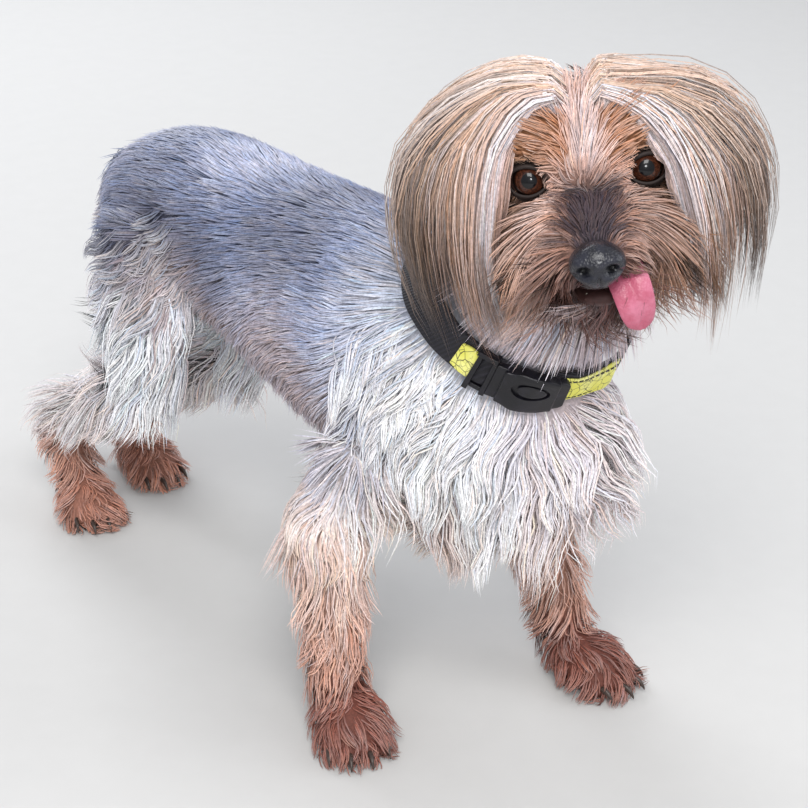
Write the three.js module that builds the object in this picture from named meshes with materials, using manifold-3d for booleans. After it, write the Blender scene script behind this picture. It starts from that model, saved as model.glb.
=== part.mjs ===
// A Yorkshire terrier standing with its head turned to its right and its tongue out, life size.
// Millimetres, +Z up. The dog faces -Y and its left is +X. The origin is on the floor, under the middle of its box.
// Smooth forms give the flesh and the short coat, and flat, tapered locks give the long coat.
import * as THREE from "three";
import { mergeVertices } from "three/addons/utils/BufferGeometryUtils.js";
import Module from "manifold-3d";

const wasm = await Module();
wasm.setup();

// Driving dimensions
const GAP = 0.35; // between pieces that touch
const BACK_TOP = 226; // height of the withers, with the short coat
const CHEST_HALF = 52; // half the width of the rib cage, with the short coat
const CHEST_DEEP = 62; // half the depth of the rib cage
const HIP_HALF = 44; // half the width across the hips
const NECK_R = 40; // half the width of the neck
const SKULL_HALF = 37; // half the width of the skull
const EYE_APART = 43; // between the middles of the two eyes
const EYE_R = 8.6; // radius of an eyeball
const LID_R = 7.3; // radius of the ring of the lids
const NOSE_HALF = 10.3; // half the width of the nose leather
const PAW_HALF = 19; // half the width of a forepaw, with its coat
const WEB_WIDTH = 16; // width of the collar's webbing
const WEB_THICK = 2.2; // thickness of the collar's webbing
const LOCK_THICK = 2; // thickness of a lock at its root
const SINK = 4; // how deep a lock's root goes
const LAYER = 0.16; // how much less every second lock of a row lifts
const WAIST = 22; // where the chest ends and the loin begins
const RUFF_END = 70; // height of the lowest tips of the ruff

const HEAD_AT = new THREE.Vector3(-5.5, -168, 272); // midway between the eyes
const HEAD_TURN = THREE.MathUtils.degToRad(-41); // towards the dog's right
const HEAD_ROLL = THREE.MathUtils.degToRad(-8); // left eye higher
const HAIR_SPREAD = { 1: 0.97, [-1]: 1.06 }; // the long hair falls wider on the right of the head

// Small helpers
const vec = (x, y, z) => new THREE.Vector3(x, y, z);
const blend = THREE.MathUtils.lerp;
const clamp = THREE.MathUtils.clamp;
const degrees = THREE.MathUtils.degToRad;
const DOWN = vec(0, 0, -1);
const SIDES = [[1, "left"], [-1, "right"]];

// Repeatable variation from -1 to 1.
let seed = 11;
function vary() {
  seed = (seed * 16807) % 2147483647;
  return (seed / 2147483647) * 2 - 1;
}

// A closed three.js shape as a solid, facing out.
function toSolid(geometry) {
  const bare = geometry.index ? geometry.clone() : geometry;
  for (const name of Object.keys(bare.attributes)) {
    if (name !== "position") bare.deleteAttribute(name);
  }
  const merged = mergeVertices(bare, 1e-4);
  const make = (triVerts) =>
    new wasm.Manifold(
      new wasm.Mesh({
        numProp: 3,
        vertProperties: new Float32Array(merged.attributes.position.array),
        triVerts,
      }),
    );
  const faces = new Uint32Array(merged.index.array);
  const made = make(faces);
  if (made.volume() > 0) return made;
  return make(faces.reverse());
}

const join = (solids) => wasm.Manifold.union(solids);
const largest = (solid) => solid.decompose().reduce((a, b) => (b.volume() > a.volume() ? b : a));

// A rounded form strung on stations, each with its place and its half sizes to the side, up and down.
class Form {
  constructor(stations, across = vec(1, 0, 0)) {
    this.across = across;
    this.spine = new THREE.CatmullRomCurve3(stations.map((s) => vec(...s.at)), false, "catmullrom", 0.5);
    this.sizes = new THREE.CatmullRomCurve3(
      stations.map((s) => vec(s.side, s.up, s.down ?? s.up)), false, "catmullrom", 0.5);
    this.turned = 1;
    const middle = this.frame(0.5).rise;
    this.turned = middle.z - middle.y < 0 ? -1 : 1;
    this.samples = Array.from({ length: 33 }, (_, i) => this.frame(i / 32));
  }

  frame(u) {
    const along = this.spine.getTangent(u).normalize();
    const side = this.across.clone().addScaledVector(along, -this.across.dot(along)).normalize();
    const rise = side.clone().cross(along).normalize().multiplyScalar(this.turned);
    return { centre: this.spine.getPoint(u), along, side, rise, half: this.sizes.getPoint(u) };
  }

  // A point on the surface. Angle 0 is to the side and a quarter turn is up, or forward on an upright form.
  point(u, angle, grow = 0) {
    const f = this.frame(u);
    const tall = Math.sin(angle) > 0 ? f.half.y : f.half.z;
    return f.centre
      .addScaledVector(f.side, Math.cos(angle) * (f.half.x + grow))
      .addScaledVector(f.rise, Math.sin(angle) * (tall + grow));
  }

  normal(u, angle) {
    const step = 0.01;
    const low = Math.max(0, u - step);
    const high = Math.min(1, u + step);
    const along = this.point(high, angle).sub(this.point(low, angle));
    const around = this.point(u, angle + step).sub(this.point(u, angle - step));
    const out = along.cross(around).normalize();
    const outward = this.point(u, angle).sub(this.frame(u).centre);
    return out.dot(outward) < 0 ? out.negate() : out;
  }

  solid(around, rings, grow = 0) {
    const ball = new THREE.SphereGeometry(1, around, rings + 2);
    const { position, uv } = ball.attributes;
    for (let i = 0; i < position.count; i++) {
      const row = Math.round((1 - uv.getY(i)) * (rings + 2));
      const u = THREE.MathUtils.clamp((row - 1) / rings, 0, 1);
      const pole = row === 0 || row === rings + 2;
      const p = pole ? this.frame(u).centre : this.point(u, uv.getX(i) * 2 * Math.PI, grow);
      if (grow && (pole || row === 1 || row === rings + 1)) {
        p.addScaledVector(this.frame(u).along, u < 0.5 ? -grow : grow);
      }
      position.setXYZ(i, p.x, p.y, p.z);
    }
    return toSolid(ball);
  }

  // Moves a point out until it stands clear of the surface by the margin.
  clear(p, margin) {
    let near = this.samples[0];
    for (const s of this.samples) {
      if (s.centre.distanceToSquared(p) < near.centre.distanceToSquared(p)) near = s;
    }
    const off = p.clone().sub(near.centre);
    const x = off.dot(near.side);
    const z = off.dot(near.rise);
    const y = off.dot(near.along);
    const tall = z > 0 ? near.half.y : near.half.z;
    const inner = near === this.samples[0] || near === this.samples[32];
    const end = inner ? y / Math.max(4, Math.min(near.half.x, tall)) : 0;
    const reach = Math.hypot(x / (near.half.x + margin), z / (tall + margin), end);
    if (reach >= 1) return p;
    const flat = near.side.clone().multiplyScalar(x).addScaledVector(near.rise, z);
    if (flat.length() < 1e-3) flat.copy(near.rise);
    return p.addScaledVector(flat, 1 / Math.max(reach, 0.2) - 1);
  }
}

// A flat, tapered lock along a route, with its ridge facing out, and the room that it needs.
function ribbon(route, out, width, thick = LOCK_THICK) {
  const steps = route.length - 1;
  const headings = route.map((_, i) =>
    route[Math.min(i + 1, steps)].clone().sub(route[Math.max(i - 1, 0)]).normalize());
  const square = (way, i) => way.clone().addScaledVector(headings[i], -way.dot(headings[i]));
  const flats = out.map(square);
  const surest = flats.reduce((best, flat, i) => (flat.length() > flats[best].length() ? i : best), 0);
  flats[surest].normalize();
  const carry = (i, from) => {
    flats[i].addScaledVector(square(flats[from], i), 0.8).normalize();
  };
  for (let i = surest + 1; i <= steps; i++) carry(i, i - 1);
  for (let i = surest - 1; i >= 0; i--) carry(i, i + 1);
  const rings = route.map((centre, i) => {
    const t = i / steps;
    return {
      centre,
      heading: headings[i],
      flat: flats[i],
      across: headings[i].clone().cross(flats[i]).normalize(),
      wide: width * 0.5 * Math.sin(Math.PI * (0.22 + 0.78 * t)) ** 0.8,
      deep: blend(thick, 0.9, t) / 2,
    };
  });
  const shape = (grow) => {
    const cone = new THREE.ConeGeometry(1, 1, 3, steps);
    const { position } = cone.attributes;
    for (let i = 0; i < position.count; i++) {
      const ring = rings[Math.round((0.5 - position.getY(i)) * -steps + steps)];
      const spread = Math.hypot(position.getX(i), position.getZ(i));
      const turn = Math.atan2(position.getX(i), position.getZ(i));
      const at = ring.centre.clone();
      if (spread > 1e-6) {
        const ridge = Math.cos(turn) > 0.5;
        at.addScaledVector(ring.across, (Math.sin(turn) / Math.sin(Math.PI / 3)) * (ring.wide + grow * 6));
        at.addScaledVector(ring.flat, ridge ? ring.deep * 1.2 + grow * 1.6 : -ring.deep * 0.6 - grow * 1.1);
      } else if (ring === rings[steps]) {
        at.addScaledVector(ring.heading, grow * 6);
      }
      position.setXYZ(i, at.x, at.y, at.z);
    }
    return toSolid(cone);
  };
  return { solid: shape(0), room: shape(GAP) };
}

// A lock that leaves the surface at its root, then bends along its lie and with its weight.
function lock({ root, out, lie, length, width, lift = 0.35, sag = 0.3, bend = 0, steps = 5, keep = [],
  floor = 0, thick = LOCK_THICK }) {
  const flow = lie.clone().addScaledVector(out, -lie.dot(out)).normalize();
  const heading = flow.clone().addScaledVector(out, lift * 1.6).normalize();
  const swing = flow.clone().cross(out).normalize();
  const flat = out.clone();
  const route = [];
  const faces = [];
  let p = root.clone().addScaledVector(out, -SINK).addScaledVector(flow, -SINK * 0.4);
  const stretch = (length + SINK) / steps;
  for (let i = 0; i <= steps; i++) {
    flat.addScaledVector(heading, -flat.dot(heading)).normalize();
    route.push(p.clone());
    faces.push(flat.clone());
    const t = i / steps;
    heading
      .lerp(flow, 0.28)
      .addScaledVector(DOWN, sag * t)
      .addScaledVector(swing, bend * t)
      .normalize();
    p = p.clone().addScaledVector(heading, stretch);
    for (const [form, margin] of keep) form.clear(p, margin + thick);
    p.z = Math.max(p.z, floor + 2);
  }
  return ribbon(route, faces, width, thick);
}

// Rows of locks on a form. Rows run along it and each row goes round it between two angles, in degrees.
function coat(form, { rows, angles, count, keep = [], ...looks }) {
  const made = [];
  rows.forEach((u, row) => {
    const many = Array.isArray(count) ? count[row] : count;
    const [first, last] = Array.isArray(angles[0]) ? angles[row] : angles;
    for (let i = 0; i < many; i++) {
      const share = (i + 0.5 + (row % 2 ? 0.2 : -0.2)) / many;
      const angle = degrees(blend(first, last, share));
      const under = i % 2;
      const place = clamp(u + under * 0.012 + vary() * 0.005, 0.02, 0.98);
      const out = form.normal(place, angle);
      const root = form.point(place, angle);
      const pick = (value) => (typeof value === "function" ? value({ row, share, out, root }) : value);
      const look = Object.fromEntries(Object.entries(looks).map(([key, value]) => [key, pick(value)]));
      made.push(
        lock({
          ...look,
          lift: look.lift - under * LAYER,
          root,
          out,
          length: look.length * (1 + vary() * 0.12),
          width: look.width * (1 + vary() * 0.06),
          bend: (look.bend ?? 0) + vary() * 0.03,
          keep: [[form, 1], ...keep],
        }),
      );
    }
  });
  return made;
}

// The trunk, from the rump to the point of the chest
const trunk = new Form([
  { at: [-10, 151, 176], side: 15, up: 14, down: 18 },
  { at: [-10, 138, 179], side: 31, up: 30, down: 38 },
  { at: [-9, 116, 180], side: HIP_HALF - 2, up: 43, down: 50 },
  { at: [-7, 86, 178], side: HIP_HALF, up: 51, down: 52 },
  { at: [-4, 48, 174], side: HIP_HALF - 1, up: 54, down: 48 },
  { at: [-1, 10, 167], side: 48, up: 59, down: 53 },
  { at: [0, -30, 162], side: CHEST_HALF, up: BACK_TOP - 163, down: CHEST_DEEP - 3 },
  { at: [0, -66, 160], side: CHEST_HALF + 1, up: BACK_TOP - 161, down: CHEST_DEEP - 2 },
  { at: [2, -100, 160], side: 51, up: 54, down: 57 },
  { at: [5, -128, 160], side: 43, up: 44, down: 47 },
  { at: [7, -149, 160], side: 27, up: 28, down: 31 },
  { at: [8, -158, 160], side: 6, up: 6, down: 7 },
]);

// The neck, from the shoulders up to the skull
const neck = new Form([
  { at: [3, -84, 176], side: NECK_R + 3, up: NECK_R + 3 },
  { at: [8, -116, 192], side: NECK_R + 1, up: NECK_R + 2 },
  { at: [13, -131, 214], side: NECK_R - 2, up: NECK_R - 1 },
  { at: [20, -131, 246], side: NECK_R - 7, up: NECK_R - 8 },
]);

// The legs. Side +1 is the left leg and -1 is the right.
const ELBOW = { 1: [49, -84, 104], [-1]: [-56, -72, 104] };
const FORE_PAW = { 1: [55, -119], [-1]: [-60, -90] };
const FORE_SPLAY = { 1: 0.25, [-1]: -0.45 };
const HIP = { 1: [18, 104, 168], [-1]: [-36, 100, 168] };
const HIND_PAW = { 1: [6, 180], [-1]: [-44, 160] };
const HIND_SPLAY = { 1: -0.05, [-1]: -0.25 };

function foreArm(side) {
  const [ex, ey, ez] = ELBOW[side];
  const [px, py] = FORE_PAW[side];
  return new Form([
    { at: [ex - side * 8, ey, ez + 26], side: 17, up: 22 },
    { at: [ex - side * 2, ey + 4, ez + 6], side: 17, up: 19 },
    { at: [blend(ex, px, 0.35), blend(ey, py, 0.15), ez - 32], side: 14.5, up: 15 },
    { at: [blend(ex, px, 0.75), blend(ey, py, 0.45), 42], side: 13, up: 13.5 },
    { at: [px, blend(ey, py, 0.62), 22], side: 13.5, up: 13.5 },
  ]);
}

function thigh(side) {
  const [hx, hy, hz] = HIP[side];
  return new Form([
    { at: [hx + side * 2, hy, hz + 18], side: 20, up: 28 },
    { at: [hx + side * 4, hy - 4, hz - 6], side: 21, up: 33 },
    { at: [hx + side * 5, hy - 8, hz - 32], side: 19, up: 28 },
    { at: [hx + side * 4, hy - 6, hz - 54], side: 16, up: 21 },
    { at: [hx + side * 3, hy + 4, hz - 70], side: 14, up: 16 },
  ]);
}

function shank(side) {
  const [hx, hy, hz] = HIP[side];
  const [px, py] = HIND_PAW[side];
  return new Form([
    { at: [hx + side * 3, hy + 6, hz - 70], side: 14, up: 16 },
    { at: [blend(hx, px, 0.5), blend(hy, py, 0.55), 76], side: 12.5, up: 13.5 },
    { at: [blend(hx, px, 0.9), py + 5, 62], side: 11.5, up: 12.5 },
    { at: [px, py + 16, 56], side: 9, up: 10 },
  ]);
}

function hock(side) {
  const [px, py] = HIND_PAW[side];
  return new Form([
    { at: [px, py + 18, 65], side: 7, up: 7 },
    { at: [px, py + 17, 55], side: 11.5, up: 12 },
    { at: [px, py + 13, 38], side: 11, up: 11 },
    { at: [px, py + 6, 20], side: 12, up: 12 },
  ]);
}

// A paw. Its toes point forward, turned out by the splay.
function paw([x, y], splay, half) {
  const ahead = vec(Math.sin(splay), -Math.cos(splay), 0);
  const at = (far, high, out = 0) => [x + ahead.x * far - ahead.y * out, y + ahead.y * far + ahead.x * out, high];
  const across = vec(-ahead.y, ahead.x, 0);
  const pad = new Form([
    { at: at(-18, 11), side: 6, up: 6, down: 7 },
    { at: at(-10, 12), side: half * 0.72, up: 13, down: 12 },
    { at: at(4, 11), side: half * 0.92, up: 12, down: 12 },
    { at: at(15, 8.5), side: half * 0.75, up: 8, down: 9 },
    { at: at(21, 6.5), side: half * 0.4, up: 4, down: 7 },
  ], across);
  const toes = [-0.62, -0.22, 0.22, 0.62].map((share) => {
    const out = share * half;
    const far = Math.abs(share) > 0.5 ? 15 : 21;
    return new Form([
      { at: at(far - 12, 9, out), side: 4, up: 5, down: 6 },
      { at: at(far - 3, 7.5, out), side: 5, up: 5, down: 8 },
      { at: at(far + 4, 5, out * 1.06), side: 3.4, up: 3, down: 5.5 },
    ], across);
  });
  return { pad, toes, ahead };
}

const pair = (make) => ({ 1: make(1), [-1]: make(-1) });
const fore = pair(foreArm);
const thighs = pair(thigh);
const shanks = pair(shank);
const hocks = pair(hock);

// The docked tail hangs close behind the rump.
const tail = new Form([
  { at: [-10, 138, 196], side: 9, up: 9 },
  { at: [-10, 152, 192], side: 9, up: 9 },
  { at: [-11, 163, 180], side: 8.5, up: 8.5 },
  { at: [-12, 169, 164], side: 7, up: 7 },
  { at: [-12, 171, 150], side: 3, up: 3 },
]);

// The head has its own frame: X to its left, Y back and Z up, from midway between the eyes.
const headTurn = new THREE.Quaternion().setFromEuler(new THREE.Euler(0, HEAD_ROLL, HEAD_TURN, "ZYX"));
const headPose = new THREE.Matrix4().compose(HEAD_AT, headTurn, vec(1, 1, 1));
const inHead = (x, y, z) => vec(x, y, z).applyMatrix4(headPose);
const headWay = (x, y, z) => vec(x, y, z).applyQuaternion(headTurn);
const headForm = (stations, across = [1, 0, 0]) => new Form(
  stations.map((s) => ({ ...s, at: inHead(...s.at).toArray() })), headWay(...across).normalize());

const skull = headForm([
  { at: [0, -7, 2], side: 10, up: 8, down: 14 },
  { at: [0, 1, 4], side: SKULL_HALF - 13, up: 14, down: 22 },
  { at: [0, 10, 4], side: SKULL_HALF - 4, up: 22, down: 28 },
  { at: [0, 25, 3], side: SKULL_HALF, up: 27, down: 30 },
  { at: [0, 45, 2], side: SKULL_HALF - 2, up: 26, down: 28 },
  { at: [0, 62, 0], side: 26, up: 18, down: 22 },
  { at: [0, 72, 0], side: 8, up: 6, down: 8 },
]);
const muzzle = headForm([
  { at: [0, 6, -14], side: 20, up: 12, down: 16 },
  { at: [0, -10, -16], side: 17.5, up: 11, down: 13 },
  { at: [0, -24, -18.5], side: 15, up: 8.5, down: 11 },
  { at: [0, -36, -20], side: 12, up: 7, down: 9 },
  { at: [0, -41, -20.5], side: 6, up: 4, down: 5 },
]);
const jaw = headForm([
  { at: [0, 12, -36], side: 18, up: 8, down: 9 },
  { at: [0, -10, -36.5], side: 14, up: 5, down: 7 },
  { at: [0, -24, -37], side: 11, up: 4, down: 6 },
  { at: [0, -33, -36.5], side: 7, up: 3, down: 5 },
]);
const noseLeather = headForm([
  { at: [0, -34, -18], side: 6, up: 4, down: 5 },
  { at: [0, -37.5, -18], side: NOSE_HALF * 0.95, up: 6.5, down: 8 },
  { at: [0, -41.5, -18.5], side: NOSE_HALF, up: 7, down: 8.5 },
  { at: [0, -45, -19], side: NOSE_HALF * 0.82, up: 5.5, down: 7 },
  { at: [0, -47, -19.5], side: NOSE_HALF * 0.4, up: 3, down: 4 },
]);

// A ball pressed to three half sizes, at a place in the head
function bead([x, y, z], [rx, ry, rz], around = 8, rings = 6) {
  const ball = new THREE.SphereGeometry(1, around, rings);
  ball.scale(rx, ry, rz);
  ball.translate(x, y, z);
  ball.applyMatrix4(headPose);
  return toSolid(ball);
}

const eyePlace = (side) => [side * EYE_APART / 2, 5.5, 0];
const eyeLook = (side) => vec(side * 0.3, -0.95, 0.05).normalize();
const eyeBall = (side, grow = 0) => bead(eyePlace(side), [EYE_R + grow, EYE_R + grow, EYE_R + grow], 10, 7);

// The upper and lower lid, a flattened ring round the front of the eyeball
function lids(side) {
  const ring = new THREE.TorusGeometry(LID_R, 1.9, 4, 11);
  ring.scale(1.05, 0.92, 1);
  const look = eyeLook(side);
  const pose = new THREE.Matrix4().lookAt(look, vec(0, 0, 0), vec(0, 0, 1));
  ring.applyMatrix4(pose);
  const set = look.multiplyScalar(Math.sqrt(EYE_R ** 2 - LID_R ** 2) + 0.6);
  ring.translate(...vec(...eyePlace(side)).add(set).toArray());
  ring.applyMatrix4(headPose);
  return toSolid(ring);
}

// A drop ear: a leather flap, hollow towards the head
function earFlap(side, grow = 0) {
  const flap = (inward, thinner) => headForm([
    { at: [side * (29 - inward * 0.3), 29, 20 - inward], side: 10 - thinner, up: 4 },
    { at: [side * (43 - inward * 0.5), 29, 24 - inward], side: 13 - thinner, up: 4.5 },
    { at: [side * (56 - inward), 28, 11 - inward * 0.6], side: 13.5 - thinner, up: 4.5 },
    { at: [side * (61 - inward), 26, -10], side: 10 - thinner, up: 4 },
    { at: [side * (61 - inward), 24, -28 - thinner * 0.3], side: 4 - thinner * 0.6, up: 2 },
  ], [0, 1, 0]);
  return flap(0, 0).solid(8, 5, grow).subtract(flap(3.4, 2.4).solid(8, 5, -grow));
}

// The tongue lolls out at the left of the mouth, two lobes with a groove between them.
const TONGUE_ACROSS = vec(14, 12, 6).normalize();
function tongue(grow = 0) {
  const lobes = [-1, 1].map((half) => {
    const shift = TONGUE_ACROSS.clone().multiplyScalar(half * 3.7);
    const at = (x, y, z) => vec(x, y, z).add(shift).toArray();
    return headForm([
      { at: at(6, -20, -31.4), side: 4.6, up: 1.3 },
      { at: at(11.5, -30, -31.6), side: 5, up: 1.5 },
      { at: at(14.5, -36, -36), side: 5.2, up: 1.7 },
      { at: at(15.5, -37.5, -44), side: 5.4, up: 1.8 },
      { at: at(15.5, -37, -52), side: 3.6, up: 1.3 },
    ], TONGUE_ACROSS.toArray()).solid(6, 5, grow);
  });
  return join(lobes);
}

// Locks on the head follow a smooth route through a few places in the head's frame.
const HEAD_MIDDLE = [0, 30, -4];
const HEAD_LAYER = 3; // how much deeper every second lock of the head lies
function headLock(places, width, { steps = 5, thick = LOCK_THICK, under = 0 } = {}) {
  const middle = inHead(...HEAD_MIDDLE);
  const shifted = places.map((place, i) => {
    const loose = i === 0 ? 0.2 : 0.7;
    const at = inHead(place[0] + vary() * loose, place[1] + vary() * loose, place[2] + vary() * loose);
    return at.addScaledVector(at.clone().sub(middle).normalize(), i === 0 ? 0 : -under * HEAD_LAYER);
  });
  const curve = new THREE.CatmullRomCurve3(shifted, false, "centripetal");
  const route = curve.getPoints(steps);
  const out = route.map((p) => p.clone().sub(middle).normalize());
  return ribbon(route, out, width, thick);
}

function headCoat() {
  const made = [];
  for (const [side] of SIDES) {
    const wide = side * HAIR_SPREAD[side];
    // From the parting over the crown
    for (let k = 0; k < 4; k++) {
      const y = 3 + 17 * k;
      const top = [20, 27, 27, 21][k];
      made.push(headLock([
        [side * 3, y, top - 4], [side * 9, y, top + 6], [side * 20, y + 1, top + 9], [side * 32, y + 2, top + 3],
      ], 18, { steps: 3, under: k % 2 }));
    }
    // The fall at each side of the face
    for (let k = 0; k < 4; k++) {
      const f = k / 3;
      made.push(headLock([
        [side * blend(15, 27, f), blend(5, 9, f), blend(13, 12, f)],
        [wide * blend(26, 42, f), blend(-5, 5, f), blend(19, 24, f)],
        [wide * blend(37, 65, f), blend(-9, 3, f), blend(0, 4, f)],
        [wide * blend(41, 71, f), blend(-10, 2, f), blend(-28, -20, f)],
        [wide * blend(38, 66, f), blend(-10, 3, f), blend(-60, -46, f)],
      ], 13.5, { steps: 5, under: k % 2 }));
    }
    // Cheeks
    for (let k = 0; k < 3; k++) {
      const f = k / 2;
      made.push(headLock([
        [side * blend(17, 25, f), blend(0, 15, f), -14],
        [side * blend(27, 39, f), blend(-13, 8, f), -22],
        [side * blend(30, 47, f), blend(-17, 5, f), -42],
        [side * blend(24, 43, f), blend(-17, 5, f), blend(-60, -66, f)],
      ], 15, { steps: 4, under: k % 2 }));
    }
    // Moustache
    for (let k = 0; k < 3; k++) {
      made.push(headLock([
        [side * (6 + 1.2 * k), -31 + 11 * k, -21 - 0.7 * k],
        [side * (16 + 2.7 * k), -36 + 11 * k, -23 - 1.4 * k],
        [side * (20 + 3.9 * k), -36 + 10.5 * k, -35 - 2.2 * k],
        [side * (20 + 3 * k), -35 + 10 * k, -46 - 3 * k],
      ], 12, { steps: 4, thick: 1.6, under: (k % 2) * 0.6 }));
    }
    // Brows
    for (let k = 0; k < 2; k++) {
      made.push(headLock([
        [side * (10 + 8 * k), 2, 9],
        [side * (15 + 9 * k), -7, 14],
        [side * (25 + 8 * k), -9.5, 8 - 2 * k],
        [side * (32 + 5 * k), -10, -3 - 3 * k],
      ], 6.5, { steps: 4, thick: 1.4 }));
    }
  }
  // Over the back of the skull
  for (const [row, many] of [4, 3].entries()) {
    for (let k = 0; k < many; k++) {
      const x = (k - (many - 1) / 2) * 16;
      made.push(headLock([
        [x * 0.7, 50 + row * 4, 14 - row * 12],
        [x * 0.9, 71 - row * 2, 15 - row * 12],
        [x * 1.1, 82 - row * 2, -2 - row * 12],
        [x * 1.15, 86 - row * 2, -26 - row * 8],
      ], 18, { steps: 4, under: k % 2 }));
    }
  }
  return made;
}

function beard() {
  const made = [];
  for (let k = -2; k <= 2; k++) {
    const back = Math.abs(k) * 6;
    made.push(headLock([
      [k * 3.4, -23 + back, -38],
      [k * 4.4, -26 + back, -47],
      [k * 5.6, -27 + back, -57],
      [k * 5.4, -26 + back, -68 + Math.abs(k)],
    ], 9, { steps: 4, thick: 1.6, under: Math.abs(k % 2) * 0.8 }));
  }
  return made;
}

function earCoat(side) {
  const made = [];
  const wide = side * HAIR_SPREAD[side];
  // Over the top of the ear, then straight down
  for (let k = 0; k < 5; k++) {
    const y = 17 + 9 * k;
    made.push(headLock([
      [side * 36, clamp(y, 21, 36), 22],
      [wide * 47, y + 1, 32 - k * 1.5],
      [wide * (66 - k), y + 1, 13],
      [wide * (70 - k * 1.6), y + 1, -18],
      [wide * (65 - k * 2), y, -50 + k],
    ], 14, { steps: 5, under: k % 2 }));
  }
  // From the lower half of the flap
  for (let k = 0; k < 2; k++) {
    const y = 20 + 9 * k;
    made.push(headLock([
      [side * 58.5, clamp(y, 20, 30), -10],
      [side * 63, y, -26],
      [side * 62, y, -42],
      [side * 57, y, -57],
    ], 11, { steps: 4 }));
  }
  return made;
}

// The collar sits in a tilted plane round the neck.
const COLLAR_AT = vec(11.4, -132.5, 196);
const COLLAR_AXIS = vec(-0.11, -0.49, 0.87).normalize();
const NECK_SIDES = 14;
const NECK_RINGS = 6;
const neckSkin = (grow = 0) => neck.solid(NECK_SIDES, NECK_RINGS, grow);

// A box whose Y points out of the collar along the given direction and whose Z is the collar's axis
function collarBox(direction, [length, deep, breadth], out = 0) {
  const radial = vec(...direction);
  radial.addScaledVector(COLLAR_AXIS, -radial.dot(COLLAR_AXIS)).normalize();
  const along = radial.clone().cross(COLLAR_AXIS).normalize();
  const shape = new THREE.BoxGeometry(length, deep, breadth);
  shape.translate(0, out, 0);
  shape.applyMatrix4(new THREE.Matrix4().makeBasis(along, radial, COLLAR_AXIS));
  shape.translate(...COLLAR_AT.toArray());
  return toSolid(shape);
}

const collarSlab = (breadth) => collarBox([0, -1, 0], [140, 140, breadth]);
const neckShell = (from, to) => neckSkin(to).subtract(neckSkin(from));

// A curved plate on the collar, between two heights over the neck's skin
function onCollar(direction, length, breadth, from, to) {
  return neckShell(from, to).intersect(collarBox(direction, [length, 60, breadth], 42));
}

// Assembly
const dog = new THREE.Group();
const headGroup = new THREE.Group();
headGroup.position.copy(HEAD_AT);
headGroup.quaternion.copy(headTurn);
dog.add(headGroup);

const finish = (color, roughness = 0.75) => new THREE.MeshStandardMaterial({ color, roughness, metalness: 0 });
const STEEL = finish(0x6d6f7d);
const SILVER = finish(0xb9b2b4);
const CREAM = finish(0xc9b09a);
const TAN = finish(0xa8674a);
const GOLD = finish(0xb9977c);
const DARK_EAR = finish(0x4a3a34);
const EYE = finish(0x2a1a12, 0.1);
const NOSE = finish(0x1c1e24, 0.35);
const TONGUE = finish(0xd98a94, 0.4);
const WEBBING = finish(0x17181c, 0.8);
const PLASTIC = finish(0x121316, 0.4);
const YELLOW = finish(0xd9d648, 0.6);

function add(name, solid, material, group = dog) {
  group.updateMatrix();
  const mesh = largest(solid).getMesh();
  const step = mesh.numProp;
  const points = new Float32Array(mesh.numVert * 3);
  for (let i = 0; i < mesh.numVert; i++) points.set(mesh.vertProperties.subarray(i * step, i * step + 3), i * 3);
  const geometry = new THREE.BufferGeometry();
  geometry.setAttribute("position", new THREE.BufferAttribute(points, 3));
  geometry.setIndex(new THREE.BufferAttribute(mesh.triVerts, 1));
  if (group !== dog) geometry.applyMatrix4(group.matrix.clone().invert());
  geometry.computeVertexNormals();
  const piece = new THREE.Mesh(geometry, material);
  piece.name = name;
  group.add(piece);
  return piece;
}

const box = (size, at) => {
  const shape = new THREE.BoxGeometry(...size);
  shape.translate(...at);
  return toSolid(shape);
};
const solids = (locks) => locks.map((one) => one.solid);
const rooms = (locks) => join(locks.map((one) => one.room));
const dressed = (flesh, locks) => join([flesh, ...solids(locks)]);

// Collar
const strapRoom = neckSkin(WEB_THICK + 2 * GAP).intersect(collarSlab(WEB_WIDTH + 2 * GAP));
add("collar_strap", neckShell(GAP, GAP + WEB_THICK).intersect(collarSlab(WEB_WIDTH)), WEBBING);
const PLATE_FROM = GAP + WEB_THICK + GAP;
const fittings = [
  ["collar_slide", [-42, -6, -9], 7, 20, 2.6, PLASTIC],
  ["collar_buckle", [-32, -27, -15], 24, 20, 7, PLASTIC],
  ["collar_patch", [-4, -40, -20], 36, WEB_WIDTH - 0.6, 1.4, YELLOW],
];
const fittingRooms = fittings.map(([, direction, length, breadth, high]) =>
  onCollar(direction, length + 2 * GAP, breadth + 2 * GAP, PLATE_FROM - GAP, PLATE_FROM + high + GAP));
fittings.forEach(([name, direction, length, breadth, high, material], i) => {
  const plate = onCollar(direction, length, breadth, PLATE_FROM, PLATE_FROM + high);
  const before = fittingRooms.slice(0, i);
  add(name, before.length ? plate.subtract(join(before)) : plate, material);
});
const collarRoom = join([strapRoom, ...fittingRooms]);

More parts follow.
